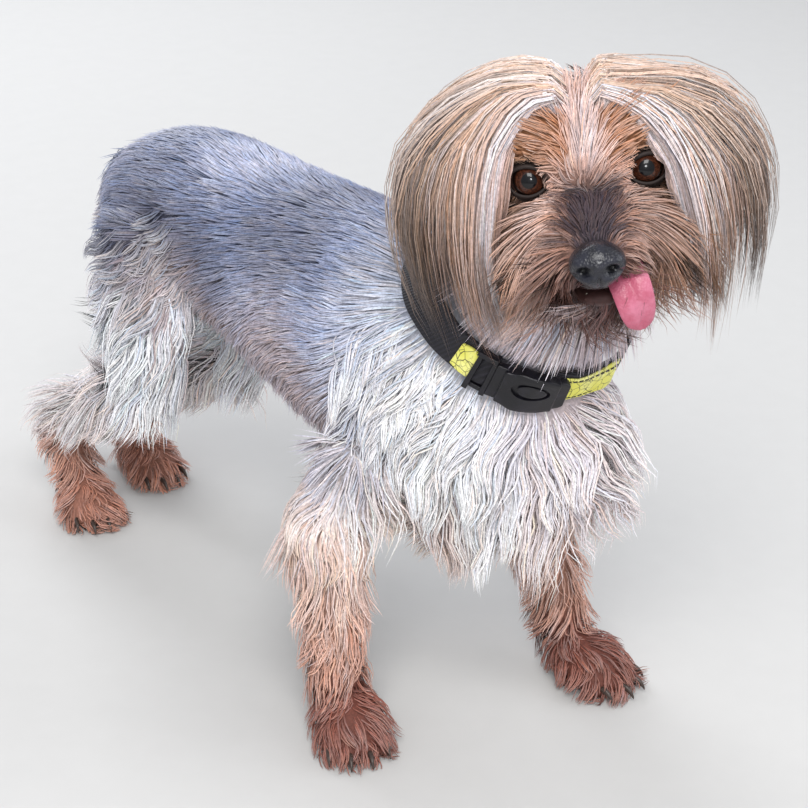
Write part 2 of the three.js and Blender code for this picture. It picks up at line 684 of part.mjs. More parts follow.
// Head
const headParts = (grow = 0) => [
  skull.solid(12, 7, grow),
  muzzle.solid(10, 5, grow),
  ...[1, -1].flatMap((side) => [
    bead([side * 16, 2, 10], [12 + grow, 8 + grow, 6 + grow], 6, 4),
    bead([side * 23, 17, -15], [15 + grow, 15 + grow, 16 + grow], 7, 5),
    bead([side * 37, 12, 4], [16 + grow, 12 + grow, 24 + grow], 7, 5),
    bead([side * 8, -26, -23], [8.5 + grow, 12 + grow, 7.5 + grow], 6, 4),
  ]),
];
const jawRoom = jaw.solid(8, 4, GAP);
const tongueRoom = tongue(GAP);
const eyes = join([eyeBall(1, GAP), eyeBall(-1, GAP)]);
const headLocks = headCoat();
const noseRoom = noseLeather.solid(10, 5, GAP);
const headFlesh = join([...headParts(), lids(1), lids(-1)]);
add("head", dressed(headFlesh, headLocks).subtract(join([eyes, tongueRoom, noseRoom])), GOLD, headGroup);
for (const [side, word] of SIDES) add("eye_" + word, eyeBall(side), EYE, headGroup);

// Nostrils, drawn out to each side, and the groove below them
const nostrils = join([
  ...SIDES.map(([side]) => bead([side * 5.6, -45.5, -18.8], [3.6, 3.6, 1.9], 6, 4)),
  bead([0, -47.5, -24], [0.7, 3, 5], 4, 3),
]);
const headFleshRoom = join(headParts(GAP));
add("nose", noseLeather.solid(10, 5).subtract(nostrils), NOSE, headGroup);
const beardLocks = beard();
const headLockRoom = rooms(headLocks);
const chin = dressed(jaw.solid(8, 4), beardLocks).subtract(join([headFleshRoom, tongueRoom, headLockRoom]));
add("jaw", chin, CREAM, headGroup);
add("tongue", tongue(), TONGUE, headGroup);
const earLocks = pair(earCoat);
const earRoom = join([earFlap(1, GAP), earFlap(-1, GAP), rooms(earLocks[1]), rooms(earLocks[-1])]);
for (const [side, word] of SIDES) {
  const ear = dressed(earFlap(side), earLocks[side]).subtract(join([headFleshRoom, headLockRoom, collarRoom]));
  add("ear_" + word, ear, DARK_EAR, headGroup);
}

// Trunk and neck
const trunkSkin = trunk.solid(16, 10);
const trunkRoom = trunk.solid(16, 10, GAP);
const chestFlesh = trunkSkin.subtract(box([300, 300, 300], [0, WAIST + 150, 160]));
const loinFlesh = trunkSkin.subtract(box([300, 300, 300], [0, WAIST + GAP - 150, 160]));
const hang = ({ root }) => clamp(root.z - RUFF_END, 28, 70);
const ruff = coat(trunk, {
  rows: [0.65, 0.74, 0.82, 0.9, 0.97],
  angles: [[-2, -178], [14, -194], [24, -204], [30, -210], [70, -250]],
  count: [7, 8, 8, 8, 6],
  lie: ({ out }) => vec(out.x * 0.2, 0.12 + 0.1 * Math.max(0, -out.y), -1),
  length: hang,
  width: 16,
  lift: ({ row, out }) => [0.3, 0.3, 0.26, 0.16, 0.04][row] + 2 * Math.max(0, -out.z) ** 2,
  sag: 0.45,
  steps: 4,
  keep: [[fore[1], 5], [fore[-1], 5]],
  floor: 60,
});
add("torso_chest", dressed(chestFlesh, ruff).subtract(collarRoom), SILVER);
add("torso_loin", loinFlesh, STEEL);
const neckFlesh = neckSkin().subtract(trunkRoom.subtract(collarSlab(WEB_WIDTH)));
const throat = coat(neck, {
  rows: [0.66],
  angles: [25, 155],
  count: [5],
  lie: vec(0, 0, -1),
  length: 24,
  width: 15,
  lift: 0.3,
  steps: 3,
});
const aroundNeck = join([headFleshRoom, jawRoom, headLockRoom, earRoom, collarRoom, rooms(beardLocks)]);
add("neck", dressed(neckFlesh, throat).subtract(aroundNeck), SILVER);

// Legs
const ruffRoom = rooms(ruff);
const floorRoom = box([900, 900, 60], [0, 0, -30]);
for (const [side, word] of SIDES) {
  const armLocks = coat(fore[side], {
    rows: [0.36, 0.62, 0.88],
    angles: [0, 360],
    count: [4, 4, 5],
    lie: ({ out }) => vec(out.x * 0.3, out.y * 0.3, -1),
    length: ({ row }) => [34, 32, 22][row],
    width: 16,
    lift: 0.42,
    sag: 0.25,
    steps: 3,
    floor: 6,
  });
  const arm = dressed(fore[side].solid(10, 6), armLocks);
  add("foreleg_" + word, arm.subtract(join([trunkRoom, ruffRoom])), CREAM);
  const forePaw = paw(FORE_PAW[side], FORE_SPLAY[side], PAW_HALF);
  const pawFlesh = (one) => join([one.pad.solid(8, 2), ...one.toes.map((toe) => toe.solid(5, 1))]).subtract(floorRoom);
  const armRoom = join([fore[side].solid(10, 6, GAP), rooms(armLocks)]);
  add("forepaw_" + word, pawFlesh(forePaw).subtract(armRoom), TAN);

  const thighLocks = coat(thighs[side], {
    rows: [0.15, 0.48, 0.82],
    angles: side > 0 ? [75, -95] : [105, 275],
    count: [3, 4, 4],
    lie: vec(0, 0.45, -1),
    length: ({ row }) => [42, 44, 38][row],
    width: 18,
    lift: 0.3,
    sag: 0.3,
    steps: 4,
    keep: [[trunk, 1], [shanks[side], 2.5]],
    floor: 40,
  });
  const upper = dressed(thighs[side].solid(12, 6), thighLocks);
  add("thigh_" + word, upper.subtract(trunkRoom), CREAM);
  const thighRoom = join([thighs[side].solid(12, 6, GAP), rooms(thighLocks), trunkRoom]);
  const shankLocks = coat(shanks[side], {
    rows: [0.62],
    angles: [200, 340],
    count: [3],
    lie: vec(0, 0.4, -1),
    length: 26,
    width: 15,
    lift: 0.3,
    sag: 0.25,
    steps: 3,
    keep: [[hocks[side], 2.5]],
  });
  const lower = dressed(shanks[side].solid(10, 5), shankLocks);
  add("shank_" + word, lower.subtract(thighRoom), CREAM);
  const hockLocks = coat(hocks[side], {
    rows: [0.34, 0.74],
    angles: [0, 360],
    count: [3, 4],
    lie: vec(0, 0.2, -1),
    length: ({ row }) => [26, 20][row],
    width: 17,
    lift: 0.4,
    sag: 0.25,
    steps: 3,
    floor: 6,
  });
  const shankRoom = join([shanks[side].solid(10, 5, GAP), rooms(shankLocks)]);
  const heel = dressed(hocks[side].solid(10, 4), hockLocks);
  add("hock_" + word, heel.subtract(join([shankRoom, thighRoom])), CREAM);
  const hindPaw = paw(HIND_PAW[side], HIND_SPLAY[side], PAW_HALF - 2.5);
  const hockRoom = join([hocks[side].solid(10, 4, GAP), rooms(hockLocks)]);
  add("hindpaw_" + word, pawFlesh(hindPaw).subtract(hockRoom), TAN);
}
const tailLocks = coat(tail, {
  rows: [0.4, 0.75],
  angles: [0, 360],
  count: [3, 4],
  lie: vec(0, 0.15, -1),
  length: 24,
  width: 10,
  lift: 0.35,
  steps: 3,
  keep: [[trunk, 2]],
});
add("tail", dressed(tail.solid(8, 5), tailLocks).subtract(trunkRoom), STEEL);

// The origin goes on the floor, under the middle of the whole box.
const part = new THREE.Group();
part.add(dog);
const reach = new THREE.Box3().setFromObject(dog, true);
const middle = reach.getCenter(vec(0, 0, 0));
dog.position.set(-middle.x, -middle.y, -reach.min.z);

export default part;
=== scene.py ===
"""A Yorkshire terrier, life size, standing with its head turned to its right and its tongue out.

Shapes are given in millimetres in the dog's own frame or its head's frame, as in the part's source,
and placed in metres in the row frame.
"""
import math

import bpy
import numpy as np
from mathutils import Matrix, Vector
from mathutils.bvhtree import BVHTree
from mathutils.kdtree import KDTree


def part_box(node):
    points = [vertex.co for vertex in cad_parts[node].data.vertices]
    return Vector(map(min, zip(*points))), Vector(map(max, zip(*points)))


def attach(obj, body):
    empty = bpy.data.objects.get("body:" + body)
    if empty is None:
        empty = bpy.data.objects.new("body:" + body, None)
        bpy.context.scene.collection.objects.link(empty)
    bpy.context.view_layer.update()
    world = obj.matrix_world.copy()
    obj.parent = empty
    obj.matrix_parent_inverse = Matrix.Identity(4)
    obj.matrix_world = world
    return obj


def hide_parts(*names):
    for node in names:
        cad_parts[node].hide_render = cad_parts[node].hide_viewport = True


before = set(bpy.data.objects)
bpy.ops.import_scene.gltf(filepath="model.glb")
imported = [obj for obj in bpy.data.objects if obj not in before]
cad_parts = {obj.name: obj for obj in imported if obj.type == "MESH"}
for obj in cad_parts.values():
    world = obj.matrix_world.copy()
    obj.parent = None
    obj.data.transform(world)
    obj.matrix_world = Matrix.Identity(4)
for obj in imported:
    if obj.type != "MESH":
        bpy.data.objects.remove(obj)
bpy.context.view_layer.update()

# Frames
MM = 0.001
SIDES = ((1, "left"), (-1, "right"))
HEAD_AT = np.array((-5.5, -168.0, 272.0))  # midway between the eyes
HEAD_TURN = math.radians(-41)  # towards the dog's right
HEAD_ROLL = math.radians(-8)  # left eye higher
HEAD_AXES = np.array(Matrix.Rotation(HEAD_TURN, 3, "Z") @ Matrix.Rotation(HEAD_ROLL, 3, "Y"))
EYE_HALF = 21.5  # half the distance between the eyes
EYE_BACK = 5.5  # how far behind the head's middle the eyes sit
EYE_R = 8.6


def in_head(points):
    """Places in the head's frame, as places in the dog's frame."""
    return HEAD_AT + np.asarray(points, float) @ HEAD_AXES.T


def from_dog(points):
    """Places in the dog's frame, as places in the head's frame."""
    return (np.asarray(points, float) - HEAD_AT) @ HEAD_AXES


def box_middle(node):
    low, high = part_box(node)
    return np.array((low + high) / 2) / MM


EYES_MIDDLE = (box_middle("eye_left") + box_middle("eye_right")) / 2
SHIFT = EYES_MIDDLE - in_head((0, EYE_BACK, 0))  # from the dog's frame to the row frame


def row(points):
    """Places in the dog's frame, as metres in the row frame."""
    return (np.asarray(points, float) + SHIFT) * MM


def unit(vectors):
    vectors = np.asarray(vectors, float)
    return vectors / np.maximum(np.linalg.norm(vectors, axis=-1, keepdims=True), 1e-9)


def blend(a, b, share):
    return a + (b - a) * share


def ease(value, low, high):
    """0 below low, 1 above high and smooth between them. With high under low it falls instead."""
    t = np.clip((value - low) / (high - low), 0, 1)
    return t * t * (3 - 2 * t)


def between(a, b, c, d, t):
    """Places at share t from b to c, on a smooth line through a, b, c and d."""
    straight = 2 * b + (c - a) * t
    return 0.5 * (straight + (2 * a - 5 * b + 4 * c - d) * t**2 + (3 * b - a - 3 * c + d) * t**3)


def spline(points, u):
    """Places on a smooth line through the points, at shares u of the way."""
    last = len(points) - 1
    at = np.clip(u, 0, 1) * last
    i = np.minimum(at.astype(int), last - 1)
    padded = np.concatenate([[2 * points[0] - points[1]], points, [2 * points[-1] - points[-2]]])
    return between(*(padded[i + k] for k in range(4)), (at - i)[..., None])


def spline_each(guides, at):
    """A place on each of many smooth lines, each at its own share of the way, or a little past its end."""
    last = guides.shape[1] - 1
    u = np.clip(at, 0, 1) * last
    i = np.minimum(u.astype(int), last - 1)
    rows = np.arange(len(guides))
    before, after = 2 * guides[:, :1] - guides[:, 1:2], 2 * guides[:, -1:] - guides[:, -2:-1]
    padded = np.concatenate([before, guides, after], axis=1)
    place = between(*(padded[rows, i + k] for k in range(4)), (u - i)[:, None])
    return place + (guides[:, -1] - guides[:, -2]) * (np.clip(at - 1, 0, 1) * last)[:, None]


def columns(*values):
    return np.stack(np.broadcast_arrays(*values), axis=1)


# Modelling tools
def deselect():
    for o in bpy.context.selected_objects:
        o.select_set(False)


def active():
    return bpy.context.view_layer.objects.active


def only(obj):
    deselect()
    obj.select_set(True)
    bpy.context.view_layer.objects.active = obj


def read(things, key, width, kind=float):
    """One attribute of many elements of a mesh, a row for each."""
    flat = np.empty(len(things) * width, kind)
    things.foreach_get(key, flat)
    return flat.reshape(-1, width)


def points_of(obj):
    return read(obj.data.vertices, "co", 3)


def dog_points(obj):
    """The object's points in the dog's frame."""
    return points_of(obj) / MM - SHIFT


def set_points(obj, points):
    obj.data.vertices.foreach_set("co", np.ascontiguousarray(points, float).ravel())
    obj.data.update()


def settle(obj, name):
    """Puts the object's place into its mesh and names it."""
    only(obj)
    bpy.ops.object.transform_apply(location=True, rotation=True, scale=True)
    obj.name = name
    obj.data.name = name
    return obj


def modify(obj, kind, **settings):
    only(obj)
    modifier = obj.modifiers.new(kind.lower(), kind)
    for key, value in settings.items():
        setattr(modifier, key, value)
    bpy.ops.object.modifier_apply(modifier=modifier.name)
    return obj


def outward(obj):
    only(obj)
    bpy.ops.object.mode_set(mode="EDIT")
    bpy.ops.mesh.select_all(action="SELECT")
    bpy.ops.mesh.normals_make_consistent(inside=False)
    bpy.ops.object.mode_set(mode="OBJECT")
    return obj


def smooth(obj, angle=None):
    only(obj)
    if angle is None:
        bpy.ops.object.shade_smooth()
    else:
        bpy.ops.object.shade_smooth_by_angle(angle=math.radians(angle))
    return obj


def merge(objects, name):
    deselect()
    for o in objects:
        o.select_set(True)
    bpy.context.view_layer.objects.active = objects[0]
    if len(objects) > 1:
        bpy.ops.object.join()
    return settle(objects[0], name)


def extrude(rings):
    """Extrudes what is selected ring by ring and leaves edit mode."""
    for _ in range(rings):
        bpy.ops.mesh.extrude_region_move(TRANSFORM_OT_translate={"value": (0, 0, 1)})
    bpy.ops.object.mode_set(mode="OBJECT")


GROOVE_WIDTH = 0.2  # as a share of the form's half width


class Form:
    """A rounded form strung on stations of (place, half side, half up, half down), in mm."""

    def __init__(self, stations, across=(1, 0, 0), head=False, groove=0.0):
        places = np.array([s[0] for s in stations], float)
        self.across = np.array(across, float)
        if head:
            places = in_head(places)
            self.across = unit(HEAD_AXES @ self.across)
        self.places = places
        self.halves = np.array([(s[1], s[2], s[3] if len(s) > 3 else s[2]) for s in stations], float)
        self.turned = 1
        self.groove = groove
        rise = self.frame(np.array([0.5]))[2][0]
        if rise[2] < rise[1]:
            self.turned = -1

    def frame(self, u):
        step = 1e-3
        centre = spline(self.places, u)
        ahead = spline(self.places, np.minimum(u + step, 1))
        along = unit(ahead - spline(self.places, np.maximum(u - step, 0)))
        side = unit(self.across - along * (along @ self.across)[..., None])
        rise = unit(np.cross(side, along)) * self.turned
        return centre, side, rise, spline(self.halves, u)

    def surface(self, u, angle, grow=0.0):
        """Places on the surface. Angle 0 is to the side and a quarter turn is up."""
        centre, side, rise, half = self.frame(u)
        tall = np.where(np.sin(angle) > 0, half[..., 1], half[..., 2]) + grow
        tall = tall * (1 - self.groove * np.exp(-((np.cos(angle) / GROOVE_WIDTH) ** 2)))
        wide = half[..., 0] + grow
        return centre + side * (np.cos(angle) * wide)[..., None] + rise * (np.sin(angle) * tall)[..., None]

    def body(self, grow=0.0, around=18, rings=14):
        """A disc extruded ring by ring along the stations, rounded by subdivision."""
        deselect()
        bpy.ops.mesh.primitive_circle_add(vertices=around, radius=1, fill_type="NGON")
        obj = active()
        bpy.ops.object.mode_set(mode="EDIT")
        extrude(rings)
        co = points_of(obj)
        angle = np.arctan2(co[:, 1], co[:, 0])
        set_points(obj, row(self.surface(np.round(co[:, 2]) / rings, angle, grow)))
        return modify(outward(obj), "SUBSURF", levels=1, render_levels=1)


def sphere(around, rings):
    deselect()
    bpy.ops.mesh.primitive_uv_sphere_add(segments=around, ring_count=rings, radius=1)
    return active()


def ball(place, halves, around=20, rings=12):
    """A ball pressed to three half sizes, at a place in the head's frame."""
    obj = sphere(around, rings)
    set_points(obj, row(in_head(points_of(obj) * halves + place)))
    return outward(obj)


# Shader tools
class Value:
    """A socket whose arithmetic adds Math nodes."""

    def __init__(self, shader, socket):
        self.shader = shader
        self.socket = socket

    def math(self, operation, *others):
        return self.shader.node("ShaderNodeMath", {"operation": operation}, (self, *others))

    def __add__(self, other):
        return self.math("ADD", other)

    def __mul__(self, other):
        return self.math("MULTIPLY", other)

    def __sub__(self, other):
        return self.math("SUBTRACT", other)

    def __rsub__(self, other):
        return self.shader.node("ShaderNodeMath", {"operation": "SUBTRACT"}, (other, self))

    __radd__ = __add__
    __rmul__ = __mul__

    def largest(self, other):
        return self.math("MAXIMUM", other)

    def step(self, low, high):
        """0 at low, 1 at high and smooth between them."""
        settings = {"interpolation_type": "SMOOTHSTEP"}
        sockets = {"Value": self, "From Min": low, "From Max": high, "To Min": 0, "To Max": 1}
        return self.shader.node("ShaderNodeMapRange", settings, sockets)


class Shader:
    """A material with one Principled surface."""

    def __init__(self, name, **surface):
        self.material = bpy.data.materials.new(name)
        self.material.use_nodes = True
        self.tree = self.material.node_tree
        self.tree.nodes.clear()
        self.output = self.tree.nodes.new("ShaderNodeOutputMaterial")
        self.surface = self.tree.nodes.new("ShaderNodeBsdfPrincipled")
        self.tree.links.new(self.surface.outputs[0], self.output.inputs["Surface"])
        self.set(self.surface, {key.replace("_", " "): value for key, value in surface.items()})

    def put(self, socket, value):
        if isinstance(value, Value):
            self.tree.links.new(value.socket, socket)
        elif socket.type == "RGBA":
            socket.default_value = (*value, 1)
        else:
            socket.default_value = value

    def set(self, node, sockets):
        for key, value in sockets.items() if isinstance(sockets, dict) else enumerate(sockets):
            self.put(node.inputs[key], value)

    def node(self, kind, settings=None, sockets=(), output=0):
        made = self.tree.nodes.new(kind)
        for key, value in (settings or {}).items():
            setattr(made, key, value)
        self.set(made, sockets)
        return Value(self, made.outputs[output])

    def place(self):
        return self.node("ShaderNodeTexCoord", output="Object")

    def tint(self):
        return self.node("ShaderNodeAttribute", {"attribute_name": "tint"}, output="Color")

    def vector(self, operation, sockets, output=0):
        return self.node("ShaderNodeVectorMath", {"operation": operation}, sockets, output)

    def noise(self, vector, scale, detail, roughness=0.6, output=0):
        sockets = {"Vector": vector, "Scale": scale, "Detail": detail, "Roughness": roughness}
        return self.node("ShaderNodeTexNoise", {}, sockets, output)

    def cells(self, vector, scale, feature="F1"):
        return self.node("ShaderNodeTexVoronoi", {"feature": feature}, {"Vector": vector, "Scale": scale})

    def mix(self, share, a, b, how="MIX"):
        """Two colours mixed. The sockets are those that the node shows for colours."""
        settings = {"data_type": "RGBA", "blend_type": how}
        return self.node("ShaderNodeMix", settings, {0: share, 6: a, 7: b}, 2)

    def bump(self, height, depth, strength=1.0):
        sockets = {"Height": height, "Distance": depth, "Strength": strength}
        self.set(self.surface, {"Normal": self.node("ShaderNodeBump", {}, sockets)})

    def finish(self, colour):
        self.set(self.surface, {"Base Color": colour})
        return self.material


def grained(name, scale, detail, dark, light, depth=0.0, **surface):
    """A material of two shades mixed by a noise, which is also its bump where a depth is given."""
    paint = Shader(name, **surface)
    grain = paint.noise(paint.place(), scale, detail)
    if depth:
        paint.bump(grain, depth)
    return paint.finish(paint.mix(grain, dark, light))


def give(obj, material, nodes=()):
    """Finishes a piece: its material, its body and the nodes it stands for."""
    obj.data.materials.clear()
    obj.data.materials.append(material)
    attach(obj, "root")
    if nodes:
        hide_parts(*nodes)
    return obj


# Forms of the body, as in the part's source
TRUNK = Form([
    ((-10, 151, 176), 15, 14, 18), ((-10, 138, 179), 31, 30, 38), ((-9, 116, 180), 42, 43, 50),
    ((-7, 86, 178), 44, 51, 52), ((-4, 48, 174), 43, 54, 48), ((-1, 10, 167), 48, 59, 53),
    ((0, -30, 162), 52, 63, 59), ((0, -66, 160), 53, 65, 60), ((2, -100, 160), 51, 54, 57),
    ((5, -128, 160), 43, 44, 47), ((7, -149, 160), 27, 28, 31), ((8, -158, 160), 6, 6, 7),
])
NECK = Form([
    ((3, -84, 176), 43, 43), ((8, -116, 192), 41, 42), ((13, -131, 214), 38, 39), ((20, -131, 246), 33, 32),
])
ELBOW = {1: (49, -84, 104), -1: (-56, -72, 104)}
FORE_PAW = {1: (55, -119), -1: (-60, -90)}
FORE_SPLAY = {1: 0.25, -1: -0.45}
HIP = {1: (18, 104, 168), -1: (-36, 100, 168)}
HIND_PAW = {1: (6, 180), -1: (-44, 160)}
HIND_SPLAY = {1: -0.05, -1: -0.25}
PAW_HALF = 19


def fore_arm(side):
    ex, ey, ez = ELBOW[side]
    px, py = FORE_PAW[side]
    return Form([
        ((ex - side * 8, ey, ez + 26), 17, 22),
        ((ex - side * 2, ey + 4, ez + 6), 17, 19),
        ((blend(ex, px, 0.35), blend(ey, py, 0.15), ez - 32), 14.5, 15),
        ((blend(ex, px, 0.75), blend(ey, py, 0.45), 42), 13, 13.5),
        ((px, blend(ey, py, 0.62), 22), 13.5, 13.5),
    ])


def thigh(side):
    hx, hy, hz = HIP[side]
    return Form([
        ((hx + side * 2, hy, hz + 18), 20, 28), ((hx + side * 4, hy - 4, hz - 6), 21, 33),
        ((hx + side * 5, hy - 8, hz - 32), 19, 28), ((hx + side * 4, hy - 6, hz - 54), 16, 21),
        ((hx + side * 3, hy + 4, hz - 70), 14, 16),
    ])


def shank(side):
    hx, hy, hz = HIP[side]
    px, py = HIND_PAW[side]
    return Form([
        ((hx + side * 3, hy + 6, hz - 70), 14, 16),
        ((blend(hx, px, 0.5), blend(hy, py, 0.55), 76), 12.5, 13.5),
        ((px, py + 16, 54), 11.5, 12),
        ((px, py + 13, 38), 11, 11),
        ((px, py + 6, 20), 12, 12),
    ])


def paw(place, splay, half):
    """The pad and the toes of a paw, pointing forward and turned out by the splay."""
    ahead = np.array((math.sin(splay), -math.cos(splay)))
    out = np.array((-ahead[1], ahead[0]))

    def at(far, high, off=0.0):
        return (*(np.array(place) + ahead * far + out * off), high)

    across = (*out, 0)
    pad = Form([
        (at(-18, 11), 6, 6, 7), (at(-10, 12), half * 0.72, 13, 12), (at(4, 11), half * 0.92, 12, 12),
        (at(15, 8.5), half * 0.75, 8, 9), (at(21, 6.5), half * 0.4, 4, 7),
    ], across)
    toes, claws = [], []
    for share in (-0.62, -0.22, 0.22, 0.62):
        off = share * half
        far = 15 if abs(share) > 0.5 else 21
        toes.append(Form([
            (at(far - 12, 9, off), 4, 5, 6), (at(far - 3, 7.5, off), 5, 5, 8),
            (at(far + 4, 5, off * 1.06), 3.4, 3, 5.5),
        ], across))
        claws.append(Form([
            (at(far + 2, 7, off * 1.04), 1.4, 1.7), (at(far + 6, 6, off * 1.1), 1.1, 1.4),
            (at(far + 8.6, 3.4, off * 1.14), 0.5, 0.6), (at(far + 9, 2.2, off * 1.14), 0.12, 0.12),
        ], across))
    return pad, toes, claws


TAIL = Form([
    ((-10, 138, 196), 9, 9), ((-10, 152, 192), 9, 9), ((-11, 163, 180), 8.5, 8.5),
    ((-12, 169, 164), 7, 7), ((-12, 171, 150), 3, 3),
])
SKULL = Form([
    ((0, -7, 2), 10, 8, 14), ((0, 1, 4), 24, 14, 22), ((0, 10, 4), 33, 22, 28), ((0, 25, 3), 37, 27, 30),
    ((0, 45, 2), 35, 26, 28), ((0, 62, 0), 26, 18, 22), ((0, 72, 0), 8, 6, 8),
], head=True)
MUZZLE = Form([
    ((0, 6, -14), 20, 12, 16), ((0, -10, -16), 17.5, 11, 13), ((0, -24, -18.5), 15, 8.5, 11),
    ((0, -36, -20), 12, 7, 9), ((0, -41, -20.5), 6, 4, 5),
], head=True)
JAW = Form([
    ((0, 12, -36), 18, 8, 9), ((0, -10, -36.5), 14, 5, 7), ((0, -24, -37), 11, 4, 6),
    ((0, -33, -36.5), 7, 3, 5),
], head=True)

TONGUE = Form([
    ((4, -10, -27.5), 6.5, 1.6), ((8.5, -24, -27), 7.4, 1.8), ((10.8, -33.5, -30), 7.6, 1.9),
    ((12.4, -36.5, -36), 7.4, 1.8), ((13.4, -36, -42), 6.8, 1.7), ((14, -34.6, -47), 5.0, 1.5),
    ((14.2, -34, -49.5), 1.6, 0.8),
], across=(1, 0.25, 0.4), head=True, groove=0.55)
NOSE_AT = (0, -41.5, -18.5)


def ear_flap(side):
    return Form([
        ((side * 29, 29, 20), 10, 4), ((side * 43, 29, 24), 13, 4.5), ((side * 56, 28, 11), 13.5, 4.5),
        ((side * 61, 26, -10), 10, 4), ((side * 61, 24, -28), 4, 2),
    ], across=(0, 1, 0), head=True)


FORE = {side: fore_arm(side) for side, _ in SIDES}
THIGHS = {side: thigh(side) for side, _ in SIDES}
SHANKS = {side: shank(side) for side, _ in SIDES}
FORE_PAWS = {side: paw(FORE_PAW[side], FORE_SPLAY[side], PAW_HALF) for side, _ in SIDES}
HIND_PAWS = {side: paw(HIND_PAW[side], HIND_SPLAY[side], PAW_HALF - 2.5) for side, _ in SIDES}


# Eyes, lids and the skin, one surface under all the coat
def eye_place(side):
    return np.array((side * EYE_HALF, EYE_BACK, 0.0))


def look_axes(side):
    """Where the eye's opening faces, with its right and up, in the dog's frame."""
    look = unit(HEAD_AXES @ unit((side * 0.2, -0.95, 0.12)))
    up = HEAD_AXES[:, 2]
    right = unit(np.cross(look, up))
    return look, right, np.cross(right, look)


def eye_angles(places):
    """Each place's distance from the nearest eye, and its angle there from the middle of the opening."""
    away, angle = np.full(len(places), 1e6), np.zeros(len(places))
    for side, _ in SIDES:
        off = places - in_head(eye_place(side))
        far = np.linalg.norm(off, axis=1)
        facing = off @ look_axes(side)[0] / np.maximum(far, 1e-6)
        turn = np.degrees(np.arccos(np.clip(facing, -1, 1)))
        nearer = far < away
        away = np.where(nearer, far, away)
        angle = np.where(nearer, turn, angle)
    return away, angle


LID_RINGS = 14
OPEN_WIDE = 47  # the opening's half width and heights, in degrees from the eyeball's middle
OPEN_UP = 34
OPEN_DOWN = 33
LID_END = 100


def lid(side):
    """A domed shell over the eyeball with an almond opening."""
    look, right, up = look_axes(side)
    deselect()
    bpy.ops.mesh.primitive_circle_add(vertices=48, radius=1)
    obj = active()
    bpy.ops.object.mode_set(mode="EDIT")
    bpy.ops.mesh.select_all(action="SELECT")
    extrude(LID_RINGS)
    co = points_of(obj)
    turn = np.arctan2(co[:, 1], co[:, 0])
    share = np.round(co[:, 2]) / LID_RINGS
    tall = np.where(np.sin(turn) > 0, OPEN_UP, OPEN_DOWN)
    edge = 1 / np.sqrt((np.cos(turn) / OPEN_WIDE) ** 2 + (np.sin(turn) / tall) ** 2)
    edge *= 1 + 0.12 * np.abs(np.cos(turn)) ** 6
    beta = np.radians(blend(edge, LID_END, share ** 1.4))
    rim = 0.35 + 0.75 * np.sin(np.pi * np.clip(share * 3.2, 0, 1))
    fold = (np.sin(turn) > 0) * np.sin(turn) * np.exp(-((share - 0.2) / 0.15) ** 2)
    thick = rim + 0.5 * ease(share, 0.1, 0.5) + 0.5 * fold
    round_way = right * np.cos(turn)[:, None] + up * np.sin(turn)[:, None]
    way = look * np.cos(beta)[:, None] + round_way * np.sin(beta)[:, None]
    centre = in_head(eye_place(side))
    set_points(obj, row(centre + way * (EYE_R + thick)[:, None]))
    outward(obj)
    mesh = obj.data
    face = mesh.polygons[len(mesh.polygons) // 2]
    if (np.array(face.center) - row(centre)) @ np.array(face.normal) < 0:
        mesh.flip_normals()
    return modify(obj, "SOLIDIFY", thickness=0.5 * MM, offset=-1)


SKIN_VOXEL = 2.1
FLOOR_GAP = 0.2


def make_skin():
    """The flesh forms, a little smaller than the coat, as one skin with eye sockets and lids."""
    parts = [
        TRUNK.body(-7, 24, 22), NECK.body(-6), TAIL.body(-3), SKULL.body(-2.5, 22, 16),
        MUZZLE.body(-1.5, 20, 14), JAW.body(-1.2),
    ]
    for side, _ in SIDES:
        arm = FORE[side].body(-3)
        co = dog_points(arm)
        co[:, 0] -= side * 12 * ease(co[:, 2], 94, 124)
        set_points(arm, row(co))
        parts += [arm, THIGHS[side].body(-5), SHANKS[side].body(-2.5)]
        for pad, toes, _ in (FORE_PAWS[side], HIND_PAWS[side]):
            parts.append(pad.body(-2.5))
            parts += [toe.body(-1.6, 12, 8) for toe in toes]
        parts += [
            ball((side * 16, 9, 14), (14, 11, 12)),
            ball((side * 23, 17, -15), (14, 14, 15)),
            ball((side * 8, -26, -23), (7.6, 11, 6.6)),
            ball((side * 16, -2, -17), (10, 14, 11)),
        ]
    skin = merge(parts, "skin")
    modify(skin, "REMESH", mode="VOXEL", voxel_size=SKIN_VOXEL * MM, adaptivity=0)
    modify(skin, "SMOOTH", factor=0.5, iterations=4)
    for side, _ in SIDES:
        socket = ball(eye_place(side), (EYE_R + 0.3,) * 3, around=24, rings=16)
        modify(skin, "BOOLEAN", operation="DIFFERENCE", object=socket, solver="EXACT")
        bpy.data.objects.remove(socket)
    co = points_of(skin)
    co[:, 2] = np.maximum(co[:, 2], FLOOR_GAP * MM)
    set_points(skin, co)
    skin = merge([skin, *(lid(side) for side, _ in SIDES)], "skin")
    return smooth(skin)


skin = make_skin()

# The collar's middle, axis and strap, as in the part's source
COLLAR_AT = np.array((11.4, -132.5, 196.0))
COLLAR_AXIS = unit((-0.11, -0.49, 0.87))
WEB_WIDTH = 16
WEB_THICK = 2.2


# Colours of the coat
def shade(red, green, blue):
    """A colour as seen on a screen, from 0 to 255, in linear light."""
    c = np.array((red, green, blue)) / 255
    return np.where(c <= 0.04045, c / 12.92, ((c + 0.055) / 1.055) ** 2.4)


